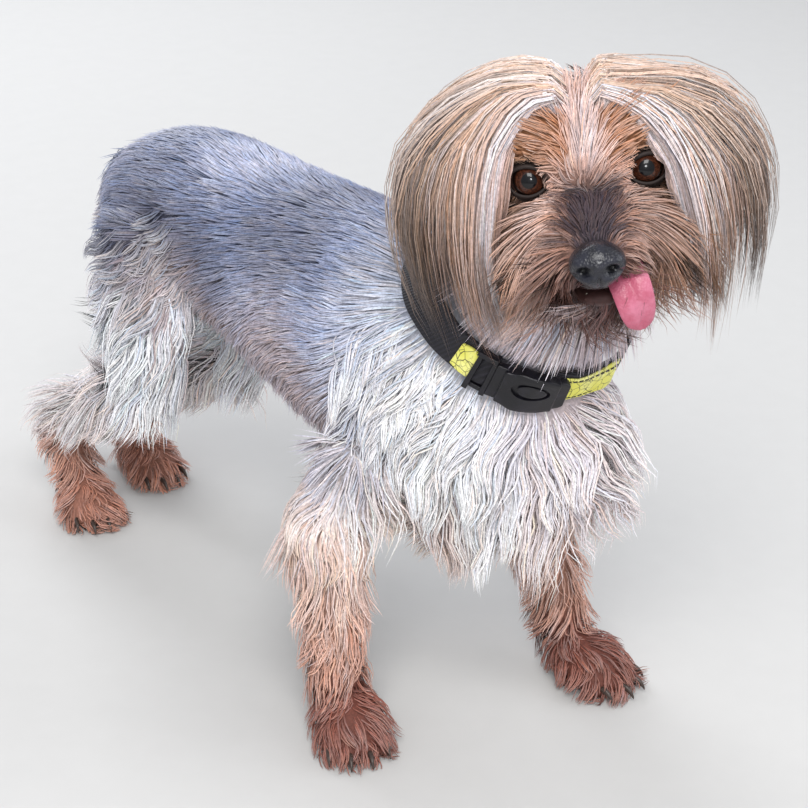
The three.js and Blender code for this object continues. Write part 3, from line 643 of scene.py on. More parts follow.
SLATE = shade(70, 71, 92)
STEEL = shade(108, 119, 152)
STEEL_LIGHT = shade(202, 205, 230)
BROWN_GREY = shade(182, 160, 156)
SILVER = shade(232, 236, 250)
WHITE = shade(248, 246, 250)
CREAM = shade(230, 208, 208)
PINK_CREAM = shade(238, 208, 196)
IVORY = shade(240, 226, 208)
TAN = shade(198, 142, 120)
COPPER = shade(158, 88, 70)
RUST = shade(80, 40, 34)
GOLD = shade(174, 114, 74)
HONEY = shade(226, 186, 146)
ASH = shade(200, 182, 182)
UMBER = shade(112, 88, 76)
CHARCOAL = shade(46, 43, 56)
DARK = shade(46, 32, 28)


def layered(first, *layers):
    """Lays one colour, or one direction, after another over the first, each by its share."""
    for share, over in layers:
        first = blend(first, over, np.clip(share, 0, 1)[:, None])
    return first


LEGS = {
    "fore": FORE, "thigh": THIGHS, "shank": SHANKS,
    "fore_paw": {side: FORE_PAWS[side][0] for side, _ in SIDES},
    "hind_paw": {side: HIND_PAWS[side][0] for side, _ in SIDES},
}
PARTS = {
    "trunk": TRUNK, "neck": NECK, "tail": TAIL, "skull": SKULL, "muzzle": MUZZLE, "jaw": JAW,
    **{f"{name}:{side}": forms[side] for name, forms in LEGS.items() for side, _ in SIDES},
}


def tree_of(places):
    tree = KDTree(len(places))
    for i, place in enumerate(places):
        tree.insert(place, i)
    tree.balance()
    return tree


class Ground:
    """The skin as the ground that the coat grows from: places, normals, parts and map of its triangles."""

    def __init__(self, obj):
        only(obj)
        bpy.ops.object.mode_set(mode="EDIT")
        bpy.ops.mesh.select_all(action="SELECT")
        bpy.ops.uv.smart_project(angle_limit=math.radians(66), island_margin=0.002)
        bpy.ops.object.mode_set(mode="OBJECT")
        mesh = obj.data
        mesh.uv_layers[0].name = "OFBake"
        mesh.calc_loop_triangles()
        self.corners = read(mesh.loop_triangles, "vertices", 3, np.int32)
        self.uv = read(mesh.uv_layers[0].uv, "vector", 2)[read(mesh.loop_triangles, "loops", 3, np.int32)]
        self.normals = read(mesh.vertex_normals, "vector", 3)
        self.co = dog_points(obj)
        a, b, c = (self.co[self.corners[:, i]] for i in range(3))
        self.area = np.linalg.norm(np.cross(b - a, c - a), axis=1) / 2
        self.name_parts()

    def name_parts(self):
        """Each vertex belongs to the part whose form is nearest."""
        shares, turns = np.linspace(0.02, 0.98, 28), np.linspace(0, 2 * np.pi, 20)
        u, angle = (g.ravel() for g in np.meshgrid(shares, turns))
        tree = tree_of(np.concatenate([form.surface(u, angle) for form in PARTS.values()]))
        self.part = np.array([tree.find(place)[1] // len(u) for place in self.co])

    def sample(self, count, weigh, rng):
        """Roots spread by a weight on each vertex: places, normals, parts and map places."""
        weight = self.area * weigh[self.corners].mean(axis=1)
        chosen = rng.choice(len(weight), count, p=weight / weight.sum())
        r1, r2 = rng.random((2, count))
        r1 = np.sqrt(r1)
        shares = np.stack([1 - r1, r1 * (1 - r2), r1 * r2], axis=1)[:, :, None]
        corners = self.corners[chosen]
        places = (self.co[corners] * shares).sum(axis=1)
        normals = unit((self.normals[corners] * shares).sum(axis=1))
        uv = (self.uv[chosen] * shares).sum(axis=1)
        return places, normals, self.part[corners[:, 0]], uv

    def map_at(self, places):
        """The map places of the triangles nearest to some places."""
        tree = tree_of(self.co[self.corners].mean(axis=1))
        return np.array([self.uv[tree.find(place)[1]].mean(axis=0) for place in places])


EYE_WINDOW = (7.0, 5.0)  # half width and half height of what stays free in front of each eye


class Obstacle:
    """What the coat can't pass through."""

    def __init__(self, objects):
        points, faces = [], []
        start = 0
        for obj in objects:
            co = dog_points(obj)
            points += co.tolist()
            faces += [[start + v for v in p.vertices] for p in obj.data.polygons]
            start += len(co)
        self.tree = BVHTree.FromPolygons(points, faces)

    def clear(self, places, margin):
        """Moves places out until they stand off the surface by the margin and leave the eyes free."""
        for side, _ in SIDES:
            look, right, up = look_axes(side)
            off = places - in_head(eye_place(side))
            ahead = off @ look
            u, v = off @ right, off @ up
            near = np.sqrt((u / EYE_WINDOW[0]) ** 2 + (v / EYE_WINDOW[1]) ** 2) + 1e-6
            push = np.where((ahead > 3) & (ahead < 60) & (near < 1), 1 / near - 1, 0)
            places = places + right * (u * push)[:, None] + up * (v * push)[:, None]
        for i, place in enumerate(places):
            near, normal, _, _ = self.tree.find_nearest(place)
            room = margin[i] - (Vector(place) - near).dot(normal)
            if room > 0:
                places[i] = place + np.array(normal) * room
        return places

    def nearest(self, places):
        """The nearest places on the surface."""
        return np.array([self.tree.find_nearest(place)[0] for place in places])


def clump(strands, leaders, strength):
    """Draws each strand to the nearest of the leaders, more towards its tip."""
    tree = tree_of(strands[:leaders, 0])
    chief = np.array([tree.find(root)[1] for root in strands[:, 0]])
    t = np.linspace(0, 1, strands.shape[1])[None, :, None] ** 1.5
    return strands + (strands[chief] - strands) * t * strength, chief


# Strands and tufts
WAVE_LENGTH = 30.0
SWIRL = 0.16
RELAX = 0.3  # how fast a strand turns from its lift to the flow
ROOT_DEPTH = 0.5


def grow(obstacle, roots, normals, rng, flow, length, lift, sag, steps, wave, stray):
    """Strands that leave their roots, lie along the flow and bend with their weight."""
    count = len(roots)
    given = (length, lift, sag, wave, stray)
    length, lift, sag, wave, stray = (np.broadcast_to(value, count)[:, None] for value in given)
    x, y, z = roots.T
    swirl = columns(np.sin(y / 21 + z / 17), np.sin(x / 19 - z / 23), np.sin(x / 15 + y / 27))
    flow = unit(flow) + SWIRL * swirl
    flow = unit(flow - normals * (flow * normals).sum(axis=1, keepdims=True))
    flow = unit(flow + rng.normal(0, 1, (count, 3)) * stray)
    side = unit(np.cross(flow, normals))
    heading = unit(flow + normals * lift * 1.6)
    stretch = length / steps
    phase = (4 * np.sin(x / 19 + y / 31) + 4 * np.sin(z / 17 + y / 25) + rng.normal(0, 0.35, count))[:, None]
    place = roots - normals * ROOT_DEPTH
    path = [place]
    for i in range(steps):
        t = (i + 1) / steps
        place = place + heading * stretch
        place = obstacle.clear(place, np.full(count, 0.6 + 1.2 * t) + rng.random(count) * 1.2)
        path.append(place)
        heading = heading + (flow - heading) * RELAX
        heading = heading + np.array((0, 0, -1)) * sag * t
        turn = np.sin(phase + t * stretch * steps / WAVE_LENGTH * 2 * np.pi)
        heading = unit(heading + side * turn * wave)
    return np.stack(path, axis=1)


TUFT_SIDES = 3
TUFT_FLATNESS = 0.4
UV_PATCH = 0.003
SOFTNESS = 0.6  # how far a tuft's shading follows the body under it


def set_tint(mesh, colours):
    """Writes a colour for each point of the mesh."""
    colours = colours.reshape(-1, 3)
    layer = mesh.attributes.new("tint", "FLOAT_COLOR", "POINT")
    layer.data.foreach_set("color", np.column_stack([colours, np.ones(len(colours))]).ravel())


def tuft_faces(steps):
    """The faces of one tuft, as numbers of its points, and where each corner lies on the tuft."""
    faces, spots = [], []
    for i in range(steps - 1):
        low, high = i * TUFT_SIDES, (i + 1) * TUFT_SIDES
        for c in range(TUFT_SIDES):
            d = (c + 1) % TUFT_SIDES
            faces.append((low + c, high + c, high + d, low + d))
            spots += [(i, c), (i + 1, c), (i + 1, c + 1), (i, c + 1)]
    faces.append((0, 1, 2))
    spots += [(0, 0), (0, 1), (0, 2)]
    tip = steps * TUFT_SIDES
    last = tip - TUFT_SIDES
    for c in range(TUFT_SIDES):
        faces.append((last + c, tip, last + (c + 1) % TUFT_SIDES))
        spots += [(steps - 1, c), (steps, c + 0.5), (steps - 1, c + 1)]
    return faces, np.array(spots, float)


def tufts(name, strands, facing, width, root_tint, tip_tint, uv, paint, slot, late):
    """One mesh of closed, tapered tufts along the strands, with the colour attribute and the map."""
    count, rings, _ = strands.shape
    steps = rings - 1
    per = steps * TUFT_SIDES + 1
    along = unit(np.gradient(strands, axis=1))
    facing = np.broadcast_to(facing if facing.ndim == 3 else facing[:, None], strands.shape)
    side = unit(np.cross(along, facing))
    rise = np.cross(side, along)
    side, rise = side[:, :steps], rise[:, :steps]
    t = np.linspace(0, 1, rings)
    profile = (np.sin(np.pi * (0.16 + 0.84 * t)) ** 0.7 * 1.02)[None, :steps, None]
    half = width[:, None, None] / 2 * profile
    verts, away = np.empty((2, count, per, 3))
    for corner in range(TUFT_SIDES):
        turn = corner * 2 * math.pi / TUFT_SIDES + math.pi / 2
        offset = side * math.cos(turn) * half + rise * math.sin(turn) * half * TUFT_FLATNESS
        verts[:, corner:-1:TUFT_SIDES] = strands[:, :steps] + offset
        away[:, corner:-1:TUFT_SIDES] = side * math.cos(turn) + rise * math.sin(turn)
    verts[:, -1] = strands[:, -1]
    away[:, -1] = facing[:, -1]

    faces, spots = tuft_faces(steps)
    order = np.concatenate(faces)
    loops = (np.arange(count)[:, None] * per + order).ravel()
    sizes = np.tile([len(face) for face in faces], count)
    starts = np.concatenate([[0], np.cumsum(sizes)[:-1]])
    mesh = bpy.data.meshes.new(name)
    mesh.vertices.add(count * per)
    mesh.vertices.foreach_set("co", row(verts.reshape(-1, 3)).ravel())
    mesh.loops.add(len(loops))
    mesh.loops.foreach_set("vertex_index", loops.astype(np.int32))
    mesh.polygons.add(len(sizes))
    mesh.polygons.foreach_set("loop_start", starts.astype(np.int32))
    mesh.polygons.foreach_set("loop_total", sizes.astype(np.int32))
    mesh.update(calc_edges=True)
    mesh.polygons.foreach_set("use_smooth", np.ones(len(sizes), bool))
    patch = (spots / (steps, TUFT_SIDES) - 0.5) * UV_PATCH
    layer = mesh.uv_layers.new(name="OFBake")
    layer.uv.foreach_set("vector", (np.repeat(uv, len(order), axis=0) + np.tile(patch, (count, 1))).ravel())
    share = np.append(np.repeat(t[:steps], TUFT_SIDES), 1)[None, :, None] ** late
    set_tint(mesh, root_tint[:, None] + (tip_tint - root_tint)[:, None] * share)
    mesh.validate()
    lean = np.concatenate([np.repeat(facing[:, :steps], TUFT_SIDES, axis=1), facing[:, -1:]], axis=1)
    away = unit(blend(away, lean, SOFTNESS))
    mesh.normals_split_custom_set_from_vertices(away.reshape(-1, 3).tolist())
    obj = bpy.data.objects.new(name, mesh)
    bpy.context.scene.collection.objects.link(obj)
    give(obj, paint)


MOST_TRIANGLES = 190000


def tufts_in_pieces(name, strands, facing, width, root_tint, tip_tint, uv, paint, slot, late=1.5):
    """The tufts in as few meshes as the limit on triangles allows, split along the dog."""
    steps = strands.shape[1] - 1
    each = (steps - 1) * TUFT_SIDES * 2 + TUFT_SIDES + 1
    pieces = math.ceil(len(strands) * each / MOST_TRIANGLES)
    order = np.argsort(strands[:, 0, 1] + strands[:, 0, 0] * 0.3)
    for k, chosen in enumerate(np.array_split(order, pieces)):
        label = name if pieces == 1 else f"{name}_{k + 1}"
        parted = [of_all[chosen] for of_all in (strands, facing, width, root_tint, tip_tint, uv)]
        tufts(label, *parted, paint, slot, late)


def hair_paint(name, rough=0.46):
    """Hair over the tint attribute, with fine lighter and darker streaks."""
    paint = Shader(name, Roughness=rough)
    streak = paint.noise(paint.place(), 700, 2)
    value = streak.step(0.3, 0.7) * 0.35 + 0.82
    return paint.finish(paint.vector("SCALE", {0: paint.tint(), "Scale": value}))


# Markings, shared by the skin and the coat, with some painted light and shade
def is_part(part, *names):
    """Which places belong to the named parts, on either side."""
    return np.isin(part, [i for i, name in enumerate(PARTS) if name.split(":")[0] in names])


def over_collar(p):
    """How far each place is along the collar's axis, from the collar's middle."""
    return (p - COLLAR_AT) @ COLLAR_AXIS


def body_tint(p, part):
    """The coat's colour at places on the body, by the dog's own markings and some painted light and shade."""
    x, y, z = p.T
    patches = np.sin(y / 23 + x / 31) * np.sin(z / 19 - y / 41)
    locks = np.sin(x / 6 + y / 9) * np.sin(z / 31 + x / 13)
    saddle = ease(y, 12, 40) * ease(y, 112, 84) * ease(z, 206, 190) * ease(z, 150, 168)
    throat = is_part(part, "neck") * ease(over_collar(p), 2, 8) * ease(y, -105, -125)
    on_thigh, on_shank, on_fore = (is_part(part, name) for name in ("thigh", "shank", "fore"))
    on_paw = is_part(part, "fore_paw", "hind_paw")
    tint = layered(
        STEEL,
        (0.65 * ease(patches, 0.05, 0.6), SLATE),
        (0.5 * ease(-patches, 0.1, 0.8), STEEL_LIGHT),
        (0.4 * ease(y, 40, 110) * ease(z, 150, 190), SLATE),
        # Painted highlight: the coat is lighter along the top of the back.
        (0.35 * ease(y, 24, 0) * ease(y, -64, -44) * ease(z, 202, 180), STEEL_LIGHT),
        (0.7 * saddle, SLATE),
        (0.9 * ease(z + 8 * np.sin(y / 13), 190, 152), BROWN_GREY),
        ((0.6 + 0.3 * ease(z, 190, 140)) * ease(y, -45, -90), SILVER),
        # Painted light: the chest is whiter on the dog's right, the side the light comes from.
        (0.6 * ease(x, -10, -34) * ease(y, -90, -110), WHITE),
        (0.8 * ease(y, -100, -145) * ease(z, 215, 170) * ease(x, -30, 0), CREAM),
        # Painted shade: the chest is greyer on the dog's left, away from the light.
        (0.6 * ease(x, 14, 44) * ease(y, -80, -110), ASH),
        (0.7 * ease(z, 150, 110) * ease(y, -60, -90), PINK_CREAM),
        (0.7 * ease(locks, 0.1, 0.7) * ease(z, 160, 130) * ease(y, -80, -100), TAN),
        (throat, CREAM),
        (on_thigh * ease(z, 178, 145), SILVER),
        (on_thigh * ease(z, 130, 96) * 0.8, CREAM),
        (on_shank, blend(CREAM, WHITE, 0.5)),
        (on_shank * ease(z, 66, 40), TAN),
        (on_fore * ease(z, 122, 92), blend(PINK_CREAM, TAN, 0.3)),
        (on_fore * ease(z, 84, 52), TAN),
    )
    feet = blend(blend(COPPER, RUST, 0.4), blend(COPPER, TAN, 0.6), (y > 0)[:, None])
    return blend(tint, feet, np.maximum(on_paw, (on_fore | on_shank) * ease(z, 46, 24))[:, None])


def head_tint(p):
    """The coat's colour at places on the face, by its own markings."""
    x, y, z = from_dog(p).T
    wide = np.abs(x)
    away, angle = eye_angles(p)
    ragged = 2.5 * np.sin(x * 1.7 + z * 0.9) * np.sin(z * 1.3 - x)
    bridge = ease(wide + ragged, 12.5, 4) * ease(z + ragged, 8, -7) * ease(y, 6, -8)
    lip = ease(z + ragged, -15, -24) * ease(y, -4, -16) * ease(wide, 26, 15)
    return layered(
        blend(TAN, PINK_CREAM, 0.25),
        (ease(z, 3, 9) * ease(wide, 3, 8), GOLD),
        (0.6 * ease(wide, 26, 12) * ease(z, 2, -8), blend(TAN, UMBER, 0.4)),
        (0.55 * ease(x, 6, 16) * ease(z, 2, -8), UMBER),
        (0.4 * ease(x, -8, -20) * ease(z, 2, -8), PINK_CREAM),
        (ease(z, 24, 31), CREAM),
        (0.85 * ease(wide, 6, 2) * ease(z, 0, 9) * ease(z, 26, 18), CREAM),
        (0.95 * bridge, CHARCOAL),
        (0.85 * lip, RUST),
        (0.8 * ease(z, -38, -43), CREAM),
        (0.7 * ease(wide, 20, 30) * ease(z, 0, -10), GOLD),
        (ease(y, 20, 45), ASH),
        (0.4 * ease(away, 14, 10.5), UMBER),
        (ease(away, 12, 10) * ease(angle, 74, 56), DARK),
    )


def on_head(part):
    return is_part(part, "skull", "muzzle", "jaw")


def ground_tint(p, part):
    return np.where(on_head(part)[:, None], head_tint(p), body_tint(p, part))


def streaked(tint, rng, dark, light, amount, chief=None):
    """Tuft by tuft variation: a share darker and a share lighter, in locks where a chief is given."""
    draw = rng.random(len(tint))
    if chief is not None:
        draw = blend(draw, draw[chief], 0.65)
    value = spread(rng, len(tint), amount)
    value *= np.where(draw < dark, 0.55, 1) * np.where(draw > 1 - light, 1.25, 1)
    grey = tint.mean(axis=1, keepdims=True)
    washed = blend(tint, grey, np.where(draw > 1 - light, 0.3, 0)[:, None])
    warmth = rng.normal(0, 0.07, len(tint))[:, None] * (1, 0, -1)
    return np.clip(washed * value[:, None] * (1 + warmth), 0.004, 0.92)


def spread(rng, count, amount):
    return np.exp(rng.normal(0, amount, count))


# The coat, region by region
LOWEST_HAIR = 0.9


class Coat:
    """Grows each part of the coat from the ground, with the same paint."""

    def __init__(self, ground, obstacle):
        self.ground = ground
        self.obstacle = obstacle
        self.rng = np.random.default_rng(23)
        self.paint = hair_paint("coat")

    def region(self, name, slot, count, weight, width, style):
        """A region of coat. The style gives flow, length, lift, sag and more at the roots."""
        rng = self.rng
        p, n, part, uv = self.ground.sample(count, weight, rng)
        look = style(p, n, part)
        look["length"] = look["length"] * spread(rng, count, 0.13)
        bends = [look[key] for key in ("flow", "length", "lift", "sag", "steps", "wave", "stray")]
        strands = grow(self.obstacle, p, n, rng, *bends)
        if "shape" in look:
            strands = look["shape"](strands)
        strands, chief = clump(strands, count // look["lock"], look["clump"])
        strands[:, :, 2] = np.maximum(strands[:, :, 2], LOWEST_HAIR)
        root = streaked(look["tint"], rng, look.get("dark", 0.24), 0.26, 0.14, chief) * 0.9
        tip = streaked(blend(look["tint"], look["tip"], look["fade"]), rng, 0.1, 0.28, 0.1, chief)
        facing = unit(n * (1, 1, 0.45) + (0, 0, 0.5))
        width = width * spread(rng, count, 0.2)
        tufts_in_pieces(name, strands, facing, width, root, tip, uv, self.paint, slot)

    def body(self):
        co, part = self.ground.co, self.ground.part
        bare = (over_collar(co) > -11.5) & (over_collar(co) < 9)
        _, y, z = co.T
        shoulder = is_part(part, "fore") & (z > 92)
        trunk = is_part(part, "trunk", "neck") | shoulder
        ruff = ease(y, -62, -98) * ease(z, 205, 178) * ease(over_collar(co), 2, -6)
        ruff = np.maximum(ruff, shoulder)

        def short(p, n, part):
            _, y, z = p.T
            low, front, rear = ease(z, 205, 120), ease(y, -50, -100), ease(y, 98, 145)
            throat = ease(over_collar(p), 4, 9) * ease(y, -100, -120)
            above = np.where(over_collar(p) > 4, np.maximum(over_collar(p) - 4, 5), 99)
            backward = 1 - 0.45 * low - 0.5 * front - 0.6 * rear
            downward = 0.22 + 0.7 * low + 0.6 * front + 0.9 * rear
            return {
                "flow": columns(0.15 * n[:, 0], backward, -downward),
                "length": np.minimum(15 + 5 * low + 9 * front + 6 * rear * low + 8 * throat, above),
                "lift": 0.07 + 0.1 * throat, "sag": 0.03 + 0.05 * low, "steps": 2, "wave": 0.1, "stray": 0.08,
                "lock": 10, "clump": 0.35, "tint": body_tint(p, part), "tip": STEEL_LIGHT, "fade": 0.3,
            }

        def long(p, n, part):
            x, y, z = p.T
            front = ease(n[:, 1], 0.0, -0.8)
            leg = is_part(part, "fore")
            flare = ease(n @ (0.78, -0.63, 0), 0.1, 0.8)
            sideways = 0.25 * n[:, 0] + 0.3 * np.sin(x / 11 + z / 23) + 0.4 * flare
            length = 28 + (44 + 16 * front) * ease(z, 176, 120)
            length = np.minimum(length, np.maximum(z - 42 + 8 * front, 26))
            length = np.where(np.abs(x) > 36, np.minimum(length, 44), length) + 10 * flare
            length += 8 * ease(z, 140, 115) * ease(y, -100, -130) * ease(x, 10, -20)
            length = np.where(leg, 22 + 6 * ease(z, 100, 125), length)
            tips = blend(WHITE, blend(IVORY, TAN, 0.2), (0.1 + 0.9 * ease(z, 170, 110))[:, None])
            return {
                "flow": columns(sideways, 0.25 * (1 - front), -1), "length": length,
                "lift": 0.1 + 0.08 * ease(z, 150, 110) + 0.5 * flare, "sag": 0.2, "steps": 6, "wave": 0.5,
                "stray": 0.04, "lock": 30, "clump": 0.68, "tint": body_tint(p, part), "tip": tips,
                "fade": 0.6, "dark": 0.14,
            }

        self.region("coat_body", "coat_steel", 29000, trunk * (1 - 0.9 * ruff) * ~bare, 0.95, short)
        self.region("coat_ruff", "coat_silver", 8200, trunk * ruff * ~bare, 0.85, long)

    def legs(self):
        height = self.ground.co[:, 2]
        part = self.ground.part

        def thighs(p, n, part):
            tail = is_part(part, "tail")
            return {
                "flow": columns(0.15 * n[:, 0], 0.8, -1),
                "length": np.where(tail, 18, np.clip(20 + (194 - p[:, 2]) * 0.5, 22, 50)),
                "lift": np.where(tail, 0.05, 0.14), "sag": 0.08, "steps": 6, "wave": 0.42, "stray": 0.06,
                "lock": 24, "clump": 0.72, "tint": body_tint(p, part), "tip": WHITE, "fade": 0.5,
            }

        def lower(p, n, part):
            z = p[:, 2]
            feet = is_part(part, "fore_paw", "hind_paw")
            shank = is_part(part, "shank")
            behind = ease(n[:, 1], 0.1, 0.8)
            legs = columns(0.5 * n[:, 0], 0.3 * n[:, 1] + 0.1 + 0.35 * shank, -1)
            toes = columns(0.9 * n[:, 0], 0.7 * n[:, 1] - 0.35, -0.7)
            length = 18 + 9 * ease(z, 40, 85) + 6 * behind + 6 * shank * ease(z, 40, 66)
            return {
                "flow": np.where(feet[:, None], toes, legs), "length": np.where(feet, 13, length),
                "lift": np.where(feet, 0.2, 0.3), "sag": 0.14, "steps": 4, "wave": 0.42, "stray": 0.12,
                "lock": 14, "clump": 0.55, "tint": body_tint(p, part), "tip": PINK_CREAM,
                "fade": np.where(feet, 0.16, 0.3)[:, None],
            }

        weight = is_part(part, "thigh") + 1.3 * is_part(part, "tail")
        self.region("coat_thighs", "coat_cream", 5600, weight, 0.85, thighs)
        legs = is_part(part, "shank") | (is_part(part, "fore") & (height < 104))
        weight = legs + 1.4 * is_part(part, "fore_paw", "hind_paw") * (height > 3)
        self.region("coat_legs", "coat_cream", 8800, weight, 0.75, lower)

    def face(self):
        co = self.ground.co
        h = from_dog(co)
        x, back, z = h.T
        away, angle = eye_angles(co)
        nose = np.linalg.norm((h - NOSE_AT) / (10.5, 8.5, 9), axis=1)
        gap = (back < -14) & (np.abs(x) < 15) & (z < -27) & (z > -38)
        bare = ((away < 10.6) & (angle < 53)) | (nose <= 1.02) | gap
        weight = on_head(self.ground.part) * np.where(back < 36, 1, 0.3) * ~bare
        weight = weight * (1 + 0.8 * ease(back, 5, -15) + 0.7 * ease(x, 12, 20) * ease(z, -4, -12))

        def style(p, n, part):
            h = from_dog(p)
            x, y, z = h.T
            wide = np.abs(x)
            away, _ = eye_angles(p)
            nose = np.linalg.norm(h - NOSE_AT, axis=1)
            cheek = ease(wide, 13, 26) * ease(z, 10, -10) * np.maximum(ease(y, 26, 12), ease(z, -8, -20))
            beard = ease(z, -14, -25) * ease(y, -27, -13) * ease(wide, 5, 13)
            lip = ease(z, -10, -20) * ease(y, -40, -30) * ease(y, -10, -22)
            lip = lip * np.where(x > 0, ease(x, 13, 17), ease(x, -2, -8))
            length = 10 + np.maximum((30 + 8 * (x > 0)) * cheek, np.maximum(24 * beard, 17 * lip))
            length = length + 8 * ease(z, -20, -30) * ease(nose, 11, 20)
            length = blend(length, 10.0, ease(z, 4, 9) * ease(y, 12, 0))
            length = blend(length, 17.0, np.maximum(ease(wide, 9, 4) * ease(z, 6, 14), ease(z, 14, 20)))
            length = length * (ease(away, 9, 21) * 0.7 + 0.3) * (ease(nose, 9, 18) * 0.72 + 0.28)
            curly = ease(z, -20, -28) * ease(wide, 32, 18)
            bridge = ease(wide, 13, 5) * ease(z, 5, -7) * ease(y, 3, -8)
            muzzle = ease(z, -18, -24) * ease(y, -6, -14) * ease(wide, 22, 14)
            front, sides = blend(PINK_CREAM, TAN, 0.35), blend(HONEY, GOLD, 0.45)
            return {
                "flow": face_flow(h) @ HEAD_AXES.T, "length": length,
                "lift": 0.12 + 0.14 * np.maximum(ease(wide, 14, 26), np.maximum(beard, lip)),
                "sag": 0.06 + 0.12 * beard, "steps": 4, "wave": 0.14 + 0.4 * curly,
                "stray": 0.06 + 0.04 * curly, "lock": 9, "clump": 0.36, "tint": head_tint(p),
                "tip": blend(front, sides, ease(wide, 14, 24)[:, None]),
                "fade": (0.45 - 0.4 * np.maximum(bridge, muzzle))[:, None], "shape": within_cheeks,
            }

        self.region("coat_face", "coat_gold", 11500, weight, 0.55, style)

    def fall(self):
        """The long hair that falls from the parting to both sides, lock by lock."""
        rng = self.rng
        middle = np.array((0, 30, -4))
        steps, locks, count = FALL_STEPS, FALL_LOCKS, FALL_TUFTS
        for side, word in SIDES:
            lock = rng.integers(0, locks, count)
            turn_of, layer_of = rng.random(locks) ** 0.9, rng.random(locks) ** 1.2
            reach_of = rng.uniform(0.8, 1.04, locks) - 0.1 * layer_of
            puff_of = rng.normal(0, 1.5, locks) + np.where(rng.random(locks) < 0.06, 5, 0)
            phase_of, tone_of = rng.uniform(0, 2 * np.pi, locks), rng.random(locks)
            turn = turn_of[lock]
            stray = rng.normal(0, 0.05, count)
            layer = np.clip(layer_of[lock] + rng.normal(0, 0.06, count), 0, 1)
            start = layer * 0.42 + rng.random(count) * 0.04
            end = reach_of[lock] + rng.normal(0, 0.03, count)
            path = []
            for t in np.linspace(0, 1, steps + 1):
                guides = spline(FALL.reshape(len(FALL), -1), turn + stray * (1.3 - t)).reshape(count, -1, 3)
                at = blend(start, end, t)
                place = spline_each(guides, at)
                way = unit(place - middle * (0, 1, 1))
                sway = np.sin(at * 5.5 + phase_of[lock]) * 1.5 * t
                puff = puff_of[lock] * math.sin(math.pi * min(t * 0.9, 1))
                place = place - way * (layer * 9 * np.clip(at * 2.2, 0, 1) - puff)[:, None]
                place[:, 1] += sway
                place[:, 0] += 0.6 * sway * t
                path.append(place + rng.normal(0, 0.35, (count, 3)) * t)
            path = np.stack(path, axis=1)
            path[:, :, 0] *= np.where(path[:, :, 2] < 20, HAIR_SPREAD[side], blend(1, HAIR_SPREAD[side], 0.5))
            lobe = ease(path[:, :, 0], 4, 24) * ease(path[:, :, 2], -4, 18)
            path[:, :, 2] -= LOBE_DROP[side] * lobe + TIP_DROP[side] * ease(path[:, :, 2], -14, -50)
            path[:, :, 0] = np.maximum(path[:, :, 0], 0.3) * side
            facing = unit((path - middle) * (1, 0.35, 1) + (0, -4, 14)) @ HEAD_AXES.T
            path = in_head(path)
            path[:, 0] = self.obstacle.nearest(path[:, 0])
            for i in range(1, steps + 1):
                path[:, i] = self.obstacle.clear(path[:, i], 0.8 + rng.random(count) * 1.5)
            tone = tone_of[lock]
            base = layered(
                CREAM,
                (0.7 * ease(tone, 0.7, 0.95), WHITE),
                (0.8 * ease(tone, 0.6, 0.3), ASH),
                (0.4 * ease(tone, 0.15, 0.05), UMBER),
                (0.5 * ease(turn, 0.04, 0.2) * ease(tone, 0.9, 0.6), HONEY),
                (0.5 * ease(layer, 0.3, 0.8) * ease(turn, 0.6, 0.2), GOLD),
                (0.6 * ease(turn, 0.25, 0.05) * (side > 0), ASH),
            )
            ends = layered(
                base,
                (0.7 * ease(turn, 0.05, 0.2) * ease(turn, 0.7, 0.4), GOLD),
                (0.9 * np.maximum(ease(turn, 0.3, 0.5), 0.8 * ease(layer, 0.4, 0.8)), UMBER),
                (0.5 * ease(tone, 0.5, 0.3) * ease(turn, 0.1, 0.3), UMBER),
                (0.9 * ease(turn, 0.2, 0.4), DARK),
            )
            root_tint = streaked(base, rng, 0.1, 0.2, 0.08)
            tip_tint = streaked(ends, rng, 0.15, 0.15, 0.12)
            tufts_in_pieces(
                f"coat_fall_{word}", path, facing, 0.95 * spread(rng, count, 0.22), root_tint, tip_tint,
                self.ground.map_at(path[:, 0]), self.paint, "coat_gold", 2.6,
            )


CHEEK_HALF = 40
BEARD_END = -54


def within_cheeks(strands):
    """The face's strands, held in under the long hair at the sides and above the collar."""
    h = from_dog(strands)
    wide = np.abs(h[:, :, 0])
    wider = CHEEK_HALF + (wide - CHEEK_HALF) * 0.3
    h[:, :, 0] = np.sign(h[:, :, 0]) * np.where(wide > CHEEK_HALF, wider, wide)
    h[:, :, 2] += 0.65 * np.maximum(BEARD_END - h[:, :, 2], 0)
    return in_head(h)


def face_flow(h):
    """The lie of the face's hair, in the head's frame."""
    x, y, z = h.T
    sign, wide = np.sign(x), np.abs(x)
    bridge = ease(wide, 13, 5) * ease(z, -24, -16) * ease(y, -2, -10)
    centre = ease(wide, 12, 4) * ease(z, -8, 2)
    brow = ease(z, 3, 9) * ease(wide, 5, 11)
    lip = ease(z, -20, -26) * ease(y, -8, -20)
    cheek = ease(z, -8, -22) * ease(wide, 10, 16) * ease(y, -26, -14)
    chin = ease(z, -33, -37) * ease(wide, 16, 10)
    return layered(
        columns(sign * 0.85, 0.1, -0.8),
        (bridge, columns(x * 0.09, 0.5, 0.6)),
        (centre, columns(x * 0.06, 0.3, 1.0)),
        (brow, columns(sign * 0.8, 0.3, 0.6)),
        (lip, columns(sign * 0.6, -0.15, -1.0)),
        (cheek, columns(sign * 0.75, -0.25, -1.0)),
        (chin, columns(x * 0.03, -0.2, -1.0)),
    )


FALL_STEPS = 9
FALL_LOCKS = 240
FALL_TUFTS = 2800
